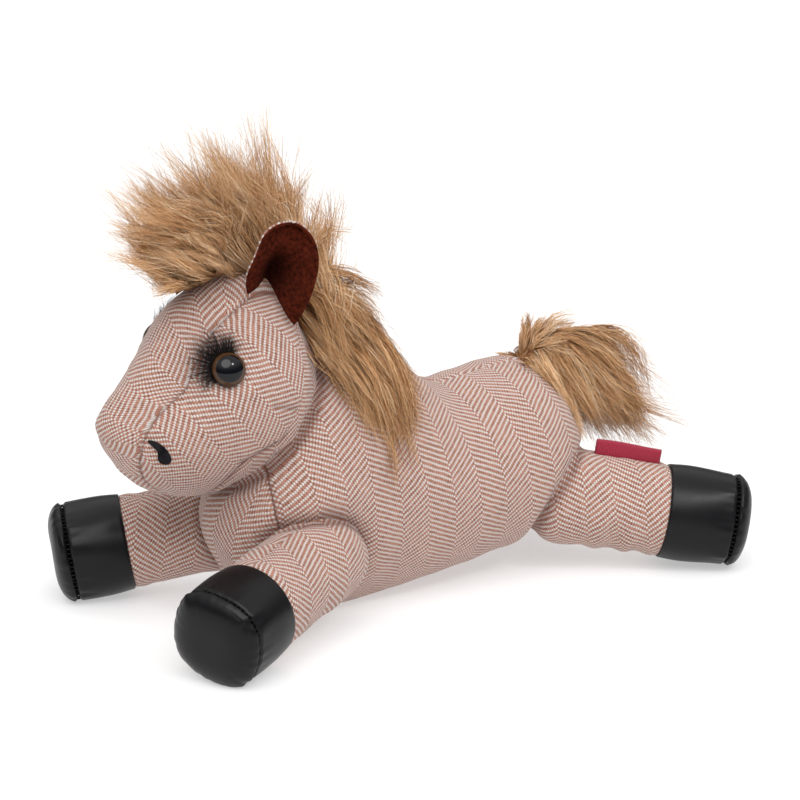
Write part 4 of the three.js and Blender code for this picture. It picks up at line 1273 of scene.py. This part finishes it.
# Places on the tail's root run round the core, 0 below, 1 at its near side, 2 on top and 3 at its far side
TAIL_GUIDES = [
    ((0, 0), (50, -12, 84), (50, -20, 74)),
    ((1, 0), (46, -10, 94), (44, -16, 90)),
    ((2, 0), (50, 0, 98), (52, 0, 108)),
    ((3, 0), (52, 12, 90), (54, 18, 80)),
    ((0, 0.14), (58, -14, 74), (62, -18, 56)),
    ((1, 0.14), (54, -17, 84), (56, -22, 68)),
    ((2, 0.14), (58, 0, 100), (62, -2, 110)),
    ((3, 0.14), (60, 16, 84), (66, 20, 66)),
    ((0, 0.32), (72, -6, 68), (88, -8, 50)),
    ((1, 0.32), (70, -18, 80), (84, -20, 57)),
    ((2, 0.32), (68, 0, 101), (80, -2, 107)),
    ((3, 0.32), (74, 16, 80), (90, 20, 54)),
    ((0, 0.65), (88, -6, 64), (110, -9, 40)),
    ((1, 0.65), (90, -16, 76), (116, -18, 46)),
    ((2, 0.65), (86, 0, 94), (108, -2, 84)),
    ((3, 0.65), (90, 14, 76), (118, 16, 48)),
    ((0, 1), (100, -4, 62), (124, -8, 36)),
    ((1, 1), (104, -10, 72), (138, -10, 44)),
    ((2, 1), (100, 0, 86), (136, 0, 62)),
    ((3, 1), (104, 10, 72), (138, 12, 48)),
]
TAIL_STRANDS = 4900


def tail_roots(turn, run):
    line = smooth_run(TAIL_CORE, run) + np.array(TAIL_ROOT)
    angle = turn * math.pi / 2
    radius = (6.2 - 2 * run) * np.sqrt(np.clip(run / 0.12, 0.01, 1))
    return line + np.stack([0 * turn, -np.sin(angle), -np.cos(angle)], 1) * radius[:, None]


def make_tail():
    # Each guide stands one round of the core earlier and later too, so the blend runs on over its start
    spots, bends, tips = (np.repeat(part, 3, axis=0) for part in guide_parts(TAIL_GUIDES))
    spots[:, 0] += np.tile((-4, 0, 4), len(TAIL_GUIDES))
    starts = tail_roots(*spots.T)
    spots[:, 1] *= 2
    for name, seed, low, high in (("tail_fur_root", 81, 0.0, 0.55), ("tail_fur_end", 82, 0.45, 1.0)):
        rng = np.random.default_rng(seed)
        turn = rng.uniform(0, 4, TAIL_STRANDS)
        run = low + (high - low) * rng.random(TAIL_STRANDS) ** 1.4
        roots = tail_roots(turn, run)
        to_bend, to_tip = guide_blend(np.stack([turn, 2 * run], 1), spots, bends - starts, tips - starts)
        piece = grow_locks(name, roots, roots + to_bend, roots + to_tip, TAIL_LOOK, seed)
        finished(piece, "camel_fur", "tail", "tail_fur")


# A soft core along a route: the pile under the long strands, painted dark as the shade inside the fur, or
# the knit that the tail is sewn round
def make_core(name, route, half, tall, body, node, slot="camel_fur", material=UNDER, rings=26, sides=30):
    share = (1 - np.cos(np.linspace(0, math.pi, rings + 2)[1:-1])) / 2
    line = smooth_run(route, share)
    along = np.gradient(line, axis=0)
    upward = np.cross(along, [0, 1, 0])
    upward /= np.linalg.norm(upward, axis=1, keepdims=True)
    ends = np.sqrt(np.sin(math.pi * share))
    angle = np.linspace(0, TURN, sides, endpoint=False)
    wide = (smooth(half, share) * ends)[:, None] * np.cos(angle)
    high = (smooth(tall, share) * ends)[:, None] * np.sin(angle)
    centre = line[:, None]
    grid = centre + wide[..., None] * np.array([0, 1, 0]) + high[..., None] * upward[:, None]
    grid = centre + (grid - centre) * (1 + 0.1 * lumps(grid, 9, 91))[..., None]
    if np.dot(np.cross([0, 1, 0], upward[3]), along[3]) > 0:
        grid = grid[:, ::-1]
    piece = skin(name, grid, [line[0], line[-1]], material)
    finished(piece, slot, body, node)


make_crown()
make_mane()
make_tail()
make_core(
    "crown_pile", [(-116, 3, 149), (-102, 3, 155), (-82, 2, 160), (-62, 0, 150)],
    [5, 10, 12, 9], [5, 8, 10, 8], "torso", "crown_fur",
)
make_core(
    "mane_pile", [(-62, -4, 139), (-52, -12, 122), (-45, -19, 104), (-39, -24, 90)],
    [7, 9, 7, 4], [4, 4.5, 4, 3], "torso", "mane_fur",
)
make_core(
    "tail_pile", [(64, 0, 87), (78, 0, 82), (94, 0, 71), (110, 0, 56)],
    [5, 10, 9, 5], [4, 7, 7, 5], "tail", "tail_fur",
)
make_core(
    "tail_knit", [(52, 0, 83), (60, 0, 86), (70, 0, 89), (80, 0, 91)],
    [5, 5.6, 5.4, 4], [5, 5.6, 5.4, 4], "tail", "tail_core", "fur_knit", KNIT, rings=16, sides=24,
)


# Backings and ears, cut from cloth


def give_wall(piece, thickness):
    wall = piece.modifiers.new("wall", "SOLIDIFY")
    wall.thickness = thickness * MM
    wall.offset = 0


# Knitted strips that the fur is sewn down by
def make_backing(name, line, shape, middle, half, node):
    grid = np.array([
        [drop_on(shape, x, middle + across * half, 0.6) for across in np.linspace(-1, 1, 9)]
        for x in line
    ])
    faces = sheet_faces(*grid.shape[:2])[:, [0, 3, 2, 1]]
    piece = new_piece(name, placed(grid.reshape(-1, 3)), faces.tolist(), KNIT)
    give_wall(piece, 1.0)
    finished(piece, "fur_knit", "torso", node)


make_backing(
    "crown_backing", np.linspace(-104, -60, 26), head_skin, 4, 6.5, "crown_fur_backing"
)
make_backing(
    "mane_backing", np.linspace(-48, -30, 18), body_skin, -1, 8, "mane_fur_backing"
)

EAR_ROWS = 27
EAR_COLUMNS = 25
EAR_HEIGHT = 36
EAR_HALF = 14
EAR_CUP = 7
EAR_SLANT = 1.5
EAR_FOLD = 12.5
EAR_HEM = [2.6, 6.2, 8.8, 6.6, 2.8, -0.9, -3.6]
EAR_SPOT = (-86, 24, 136)
EAR_TURN = 62
EAR_LEAN = 13


def ear_axes(side):
    turn, lean = math.radians(EAR_TURN), math.radians(EAR_LEAN)
    facing = np.array([-math.cos(turn), side * math.sin(turn), 0])
    up = np.array([math.sin(lean), 0, math.cos(lean)])
    across = np.cross(up, facing)
    across /= np.linalg.norm(across)
    return across, np.cross(facing, across), facing


# A leaf with a round top whose lower half is folded forward at its edges
def ear_points(side, margin, forward):
    rows = 1 - np.cos(np.linspace(0.0, 1, EAR_ROWS) * math.pi / 2)
    rows = 1 - rows[::-1]
    rows = (rows - rows[0]) / (rows[-1] - rows[0])
    v, u = np.meshgrid(rows, np.linspace(-1, 1, EAR_COLUMNS), indexing="ij")
    lower = smooth([0.74, 0.9, 0.98, 1.0], np.clip(v / 0.55, 0, 1))
    upper = np.sqrt(np.clip(1 - (np.clip(v - 0.55, 0, 1) / 0.452) ** 2.1, 0, 1))
    rear = -side * u
    edge = np.where(rear < 0, margin, -1.2 * margin - 0.1)
    half = (EAR_HALF + edge) * np.where(v < 0.55, lower, np.maximum(upper, 0.04))
    half = half * np.where(rear < 0, 1 - 0.2 * bell(v - 0.62, 0.3), 1)
    curl = smooth([-0.2, 0.25, 0.6, 0.7, 0.6, 0.4, 0.25], v) * EAR_CUP
    curl = curl * np.abs(u) ** (1.25 + 0.9 * v)
    base = EAR_SLANT * u * side + smooth(EAR_HEM, (rear + 1) / 2)
    rise = base + v * (EAR_HEIGHT + margin - base)
    off_fold = rear + 0.3 - 0.45 * v
    crease = bell(off_fold, np.where(off_fold < 0, 0.3, 0.52)) * ease(0.74 - v, 0, 0.5)
    root = np.array([EAR_SPOT[0], side * EAR_SPOT[1], EAR_SPOT[2]])
    local = np.stack([u * half - side * 2 * v**2, rise, curl + forward - EAR_FOLD * crease], -1)
    return root + local @ np.stack(ear_axes(side)), local, crease


def make_ear(name, side):
    for part, margin, forward, wall, material, slot in (
        ("cover", 0.2, -0.7, 1.3, CLOTH, "herringbone_cloth"),
        ("lining", -0.1, 0.6, 1.1, BROWN_FELT, "brown_felt"),
    ):
        points, local, crease = ear_points(side, margin, forward)
        if part == "lining":
            points = points + ear_axes(side)[2] * 0.25 * lumps(points, 12, 15)[..., None]
        flat = points.reshape(-1, 3)
        faces = sheet_faces(EAR_ROWS, EAR_COLUMNS)
        piece = new_piece(f"{name}_{part}_cloth", placed(flat), faces.tolist(), material)
        uv = turned_map(local[..., 0].ravel(), local[..., 1].ravel(), EAR_BAND)
        for map_name in ("weave", "panel_weave"):
            set_map(piece, map_name, uv[faces.ravel()])
        none = np.zeros(len(flat))
        # The lining's crease is painted in shade
        crease_shade = crease.ravel() if part == "lining" else none
        for value_name, field in (("panel", none - 1), ("crease_shade", crease_shade), ("sewn", none)):
            set_values(piece, value_name, field)
        give_wall(piece, wall)
        round_off = piece.modifiers.new("round", "SUBSURF")
        round_off.levels = 1
        round_off.render_levels = 1
        finished(piece, slot, "torso", f"{name}_{part}")
        if part == "lining":
            grow_nap(name, side, points, crease)


# Short fibres that stand on the ear's felt
EAR_NAP_LOOK = LOCKS | {
    "spread": 0.3, "stray": 0.0, "hold": 0.3, "locks": 40, "tufts": 120, "uneven": 0.1, "short": 0.6,
    "curl": 0.15, "black": 0.0, "steps": 4, "thickness": 0.06, "frizz": 0.8, "frizz_scale": 700.0,
    "material": BROWN_FELT,
}
EAR_NAP_STRANDS = 2400


def grow_nap(name, side, points, crease):
    rng = np.random.default_rng(120 + side)
    row = rng.uniform(0.5, EAR_ROWS - 1.01, EAR_NAP_STRANDS)
    column = rng.uniform(0, EAR_COLUMNS - 1.01, EAR_NAP_STRANDS)
    low, left = row.astype(int), column.astype(int)
    up_share, side_share = (row - low)[:, None], (column - left)[:, None]
    roots = (
        points[low, left] * (1 - up_share) * (1 - side_share)
        + points[low + 1, left] * up_share * (1 - side_share)
        + points[low, left + 1] * (1 - up_share) * side_share
        + points[low + 1, left + 1] * up_share * side_share
    )
    rise = points[low + 1, left] - points[low, left]
    along = points[low, left + 1] - points[low, left]
    outward = np.cross(along, rise)
    outward /= np.linalg.norm(outward, axis=1, keepdims=True)
    outward *= np.sign(outward @ ear_axes(side)[2])[:, None]
    rise /= np.linalg.norm(rise, axis=1, keepdims=True)
    roots = roots + outward * 0.4
    lean = rise * 0.5 + 0.5 * rng.normal(size=(EAR_NAP_STRANDS, 3))
    bends = roots + outward * 0.45 + lean * 0.3
    tips = roots + outward * 0.75 + lean * 0.9
    # The nap in the lining's crease carries the same painted shade
    marks = {"crease_shade": crease[low, left]}
    piece = grow_locks(f"{name}_lining_nap", roots, bends, tips, EAR_NAP_LOOK, 130 + side, marks)
    finished(piece, "brown_felt", "torso", f"{name}_lining")


make_ear("ear_left", -1)
make_ear("ear_right", 1)


# Eyes and lashes

LASH_LOOK = LOCKS | {
    "spread": 0.16, "stray": 0.3, "hold": 0.3, "locks": 40, "tufts": 90, "uneven": 0.15, "short": 0.7,
    "curl": 0.1, "black": 0.0, "steps": 6, "thickness": 0.065, "frizz": 2.2, "frizz_scale": 240.0,
    "material": LASH,
}
LASH_STRANDS = 760
LASH_START = 58
LASH_SPAN = 166
# Radius and lift of the band that the lashes grow from, round its section
LASH_BAND = [(6.7, -0.5), (6.9, 0.4), (7.3, 0.6), (7.7, 0.2), (7.6, -0.8), (7.0, -1.0)]


def make_eye(name, side):
    spot, outward = side_spot(*EYE_SPOT, side)
    back, up = spot_axes(outward)
    dome = [
        (0.3 + EYE_DOME * math.sin(t), EYE_RADIUS * math.cos(t))
        for t in np.linspace(0.03, math.pi / 2, 26)[:-1]
    ]
    outline = [(-8.6, 1.4), (-8.2, 2.0), (-2.2, 2.0), (-1.6, 5.6), (-1.2, 6.7), (-0.4, 7.0), *dome]
    along, radius, angle = turned_grid(outline, 64)
    axes = np.stack([outward, back, up])
    points = spot + ring_points(along, radius, angle) @ axes
    poles = spot + np.array([[-8.7, 0, 0], [0.3 + EYE_DOME, 0, 0]]) @ axes
    rim = np.where(along < -0.5, 1, np.clip(radius / EYE_RADIUS, 0, 1))
    piece = skin(f"{name}_dome", points, poles, EYE, values={"radial": rim})
    finished(piece, "eye_plastic", "torso", name)
    washer = frame["nodes"][f"{name}_washer"].data.materials
    washer.clear()
    washer.append(WASHER)
    make_lashes(name, side, spot, outward, back, up)


def make_lashes(name, side, spot, outward, back, up):
    def on_eye(radius, turn, lift):
        flat = (radius * np.cos(turn))[:, None] * back + (radius * np.sin(turn))[:, None] * up
        return spot + (lift + 0 * turn)[:, None] * outward + flat

    rng = np.random.default_rng(95 + side)
    turn = np.radians(LASH_START + LASH_SPAN * rng.beta(1.6, 1.6, LASH_STRANDS))
    weight = smooth([0.45, 0.75, 1.0, 1.1, 1.0, 0.8, 0.5], (np.degrees(turn) - LASH_START) / LASH_SPAN)
    roots = on_eye(EYE_RADIUS + rng.uniform(-0.2, 0.7, LASH_STRANDS), turn, 0.6)
    fan = turn + 0.1 * (turn - 2.0)
    reach = (2.5 + 10.0 * weight) * rng.uniform(0.2, 1.15, LASH_STRANDS) ** 1.2
    radial = np.cos(fan)[:, None] * back + np.sin(fan)[:, None] * up
    bends = roots + radial * (reach * 0.5)[:, None] + outward * 1.6
    tips = roots + radial * reach[:, None] + outward * (1.0 + 1.4 * rng.random(LASH_STRANDS))[:, None]
    fringe = grow_locks(f"{name}_lash_fringe", roots, bends, tips, LASH_LOOK, 97 + side)
    finished(fringe, "lash_fibre", "torso", f"{name}_lashes")
    band_turn = np.radians(np.linspace(62, 226, 70))
    run = (band_turn - band_turn[0]) / (band_turn[-1] - band_turn[0])
    full = 0.25 + 0.75 * np.sqrt(np.clip(np.sin(run * math.pi), 0, 1))
    grid = np.stack([on_eye(7.0 + (radius - 7.0) * full, band_turn, lift) for radius, lift in LASH_BAND], 1)
    grid = grid[:, ::-1] if side < 0 else grid
    band = skin(f"{name}_lash_root", grid, middle_poles(grid), LASH)
    set_values(band, "strand_tone", np.zeros(len(band.data.vertices)))
    finished(band, "lash_fibre", "torso", f"{name}_lashes")


make_eye("eye_left", -1)
make_eye("eye_right", 1)


# Nostrils: felt teardrops, tip up and forward, that follow the muzzle

NOSTRIL_OUTLINE = [
    (-4.7, 4.7), (-3.2, 5.1), (-0.6, 4.2), (2.3, 1.7), (4.2, -1.9), (3.9, -4.0), (2.4, -5.0),
    (-0.1, -4.2), (-1.0, -2.3), (-1.0, 0.5), (-2.5, 3.0),
]
# Share of the outline and lift over the skin, from the felt's underside round its edge to its middle
NOSTRIL_LAYERS = [
    (0.3, -0.6), (0.9, -0.6), (1.0, -0.1), (1.0, 0.4), (0.96, 0.75), (0.85, 0.9), (0.6, 0.95), (0.3, 0.95),
    (0.1, 0.95),
]


def make_nostril(name, side):
    spot, outward = side_spot(*NOSTRIL_SPOT, side)
    back, up = spot_axes(outward)
    if back[0] < 0:
        back = -back
    loop = [NOSTRIL_OUTLINE[-1], *NOSTRIL_OUTLINE, NOSTRIL_OUTLINE[0], NOSTRIL_OUTLINE[1]]
    share = (1 + np.linspace(0, len(NOSTRIL_OUTLINE), 72, endpoint=False)) / (len(loop) - 1)
    edge = smooth_run(loop, share)
    centre = edge.mean(0)
    rows = []
    for size, lift in NOSTRIL_LAYERS:
        row = []
        for forward, high in centre + (edge - centre) * size:
            start = spot + back * forward + up * high + outward * 12
            hit, normal, _, _ = head_skin.ray_cast(Vector(start), Vector(-outward))
            row.append(np.array(hit) + np.array(normal) * lift)
        rows.append(row)
    grid = np.array(rows)
    poles = middle_poles(grid)
    flow = np.cross(grid[3, 1] - grid[3, 0], grid[5, 0] - grid[3, 0])
    if flow @ outward < 0:
        grid = grid[:, ::-1]
    piece = skin(f"{name}_felt", grid, poles, BLACK_FELT)
    finished(piece, "black_felt", "torso", name)


make_nostril("nostril_left", -1)
make_nostril("nostril_right", 1)


# Label: a bare folded tape in the top seam of the left hind leg

LABEL_LENGTH = 28
LABEL_TOP = 27.2
LABEL_BASE = 17.5
LABEL_OUTSIDE = [
    (-0.9, LABEL_BASE), (-0.9, 22), (-0.85, 25.6), (-0.55, 26.8), (0, LABEL_TOP),
    (0.55, 26.8), (0.85, 25.6), (0.9, 22), (0.9, LABEL_BASE),
]
LABEL_INSIDE = [(0.25, LABEL_BASE), (0.25, 25.4), (0, 26.2), (-0.25, 25.4), (-0.25, LABEL_BASE)]


def make_label():
    rim = LEGS["hindleg_left"]["rim"]
    outline = np.array([*LABEL_OUTSIDE, *LABEL_INSIDE])
    high = np.clip((outline[:, 1] - LABEL_BASE) / 8, 0, 1)
    lay = np.concatenate([[0], np.cumsum(np.linalg.norm(np.diff(outline, axis=0), axis=1))])
    rows = []
    maps = []
    for t in np.linspace(0, 1, 29):
        lean = 0.7 * math.sin(t * 4.4 + 0.6)
        rise = 0.35 * math.sin(t * 3.1 + 1.0)
        x = rim - 5 - LABEL_LENGTH + t * LABEL_LENGTH + 0 * high
        rows.append(np.stack([x, outline[:, 0] + lean * high, outline[:, 1] + rise * high], 1))
        maps.append(np.stack([x, lay], 1))
    grid = in_leg("hindleg_left", np.array(rows))
    uv = np.array(maps)
    uv = np.concatenate([uv, uv[:, -1:]], 1)
    poles = middle_poles(grid)
    if outward_of(grid)[14, 4] @ (leg_matrix("hindleg_left")[0] @ np.array([0, 0, 1.0])) < 0:
        grid = grid[:, ::-1]
        uv = uv[:, ::-1]
    piece = skin("side_label_tape", grid, poles, LABEL, {"weave": uv})
    finished(piece, "label_weave", "hindleg_left", "side_label")


make_label()


# Floor, light and camera

FLOOR_SIDES = 96
FLOOR_RADIUS = 9
FLOOR_Z = -0.0002
CAMERA_AZIMUTH = -34
CAMERA_ELEVATION = 17
CAMERA_DISTANCE = 1.4
CAMERA_LENS = 149.94
CAMERA_TARGET = (0, 13, 75)
SPARK_TARGET = (-108, -27, 116)
SPARK_DISTANCE = 1.25


def make_floor():
    pale = Finish("pale_floor", roughness=0.9, specular_ior_level=0.1)
    pale.colour(pale.mixed(pale.noise(pale.position(), 3.0), (0.55, 0.55, 0.55, 1), (0.57, 0.57, 0.57, 1)))
    pale.shader["Emission Color"].default_value = (1, 1, 1, 1)
    pale.shader["Emission Strength"].default_value = 0.45
    angle = np.linspace(0, TURN, FLOOR_SIDES, endpoint=False)
    rim = [(FLOOR_RADIUS * math.cos(a), FLOOR_RADIUS * math.sin(a), FLOOR_Z) for a in angle]
    faces = [(0, 1 + i, 1 + (i + 1) % FLOOR_SIDES) for i in range(FLOOR_SIDES)]
    floor = new_piece("floor", [(0, 0, FLOOR_Z), *rim], faces, pale.material, smooth_faces=False)


def make_sky():
    world = bpy.context.scene.world or bpy.data.worlds.new("studio")
    bpy.context.scene.world = world
    world.use_nodes = True
    sky = Nodes(world.node_tree)
    direction = sky.put("ShaderNodeTexCoord").outputs["Generated"]
    height = sky.put("ShaderNodeSeparateXYZ", {0: direction}).outputs[2]
    seen = sky.put("ShaderNodeLightPath").outputs["Is Camera Ray"]
    level = sky.sums("MAXIMUM", sky.between(height, 0.2, 0.7, 0.16, 1.15), sky.times(seen, 1.1))
    background = sky.tree.nodes["Background"].inputs
    sky.feed(background["Color"], sky.grey(level))
    background["Strength"].default_value = 0.95


# A broad soft sun, and a small lamp whose gleam shows in the near eye
def make_lights():
    sun = bpy.data.lights.new("soft_key", "SUN")
    sun.energy = 1.5
    sun.angle = math.radians(46)
    key = in_scene("soft_key", sun)
    key.rotation_euler = Vector((-0.42, -0.62, 1.0)).to_track_quat("Z", "Y").to_euler()
    lamp = bpy.data.lights.new("spark", "AREA")
    lamp.shape = "DISK"
    lamp.size = 0.2
    lamp.energy = 2.2
    spark = in_scene("spark", lamp)
    spark_way = Vector((0.172, -0.703, 0.69))
    spark.location = Vector(placed(SPARK_TARGET)) + spark_way * SPARK_DISTANCE
    spark.rotation_euler = spark_way.to_track_quat("Z", "Y").to_euler()


def make_camera():
    azimuth, elevation = math.radians(CAMERA_AZIMUTH), math.radians(CAMERA_ELEVATION)
    level = math.cos(elevation)
    away = Vector((math.sin(azimuth) * level, -math.cos(azimuth) * level, math.sin(elevation)))
    right = Vector((math.cos(azimuth), math.sin(azimuth), 0))
    turn = Matrix((right, away.cross(right), away)).transposed().to_4x4()
    camera = in_scene("camera", bpy.data.cameras.new("camera"))
    camera.data.lens = CAMERA_LENS
    camera.data.sensor_width = 36
    target = Vector(placed(CAMERA_TARGET))
    camera.matrix_world = Matrix.Translation(target + away * CAMERA_DISTANCE) @ turn
    bpy.context.scene.camera = camera


make_floor()
make_sky()
make_lights()
make_camera()
bpy.context.scene.view_settings.view_transform = "Standard"
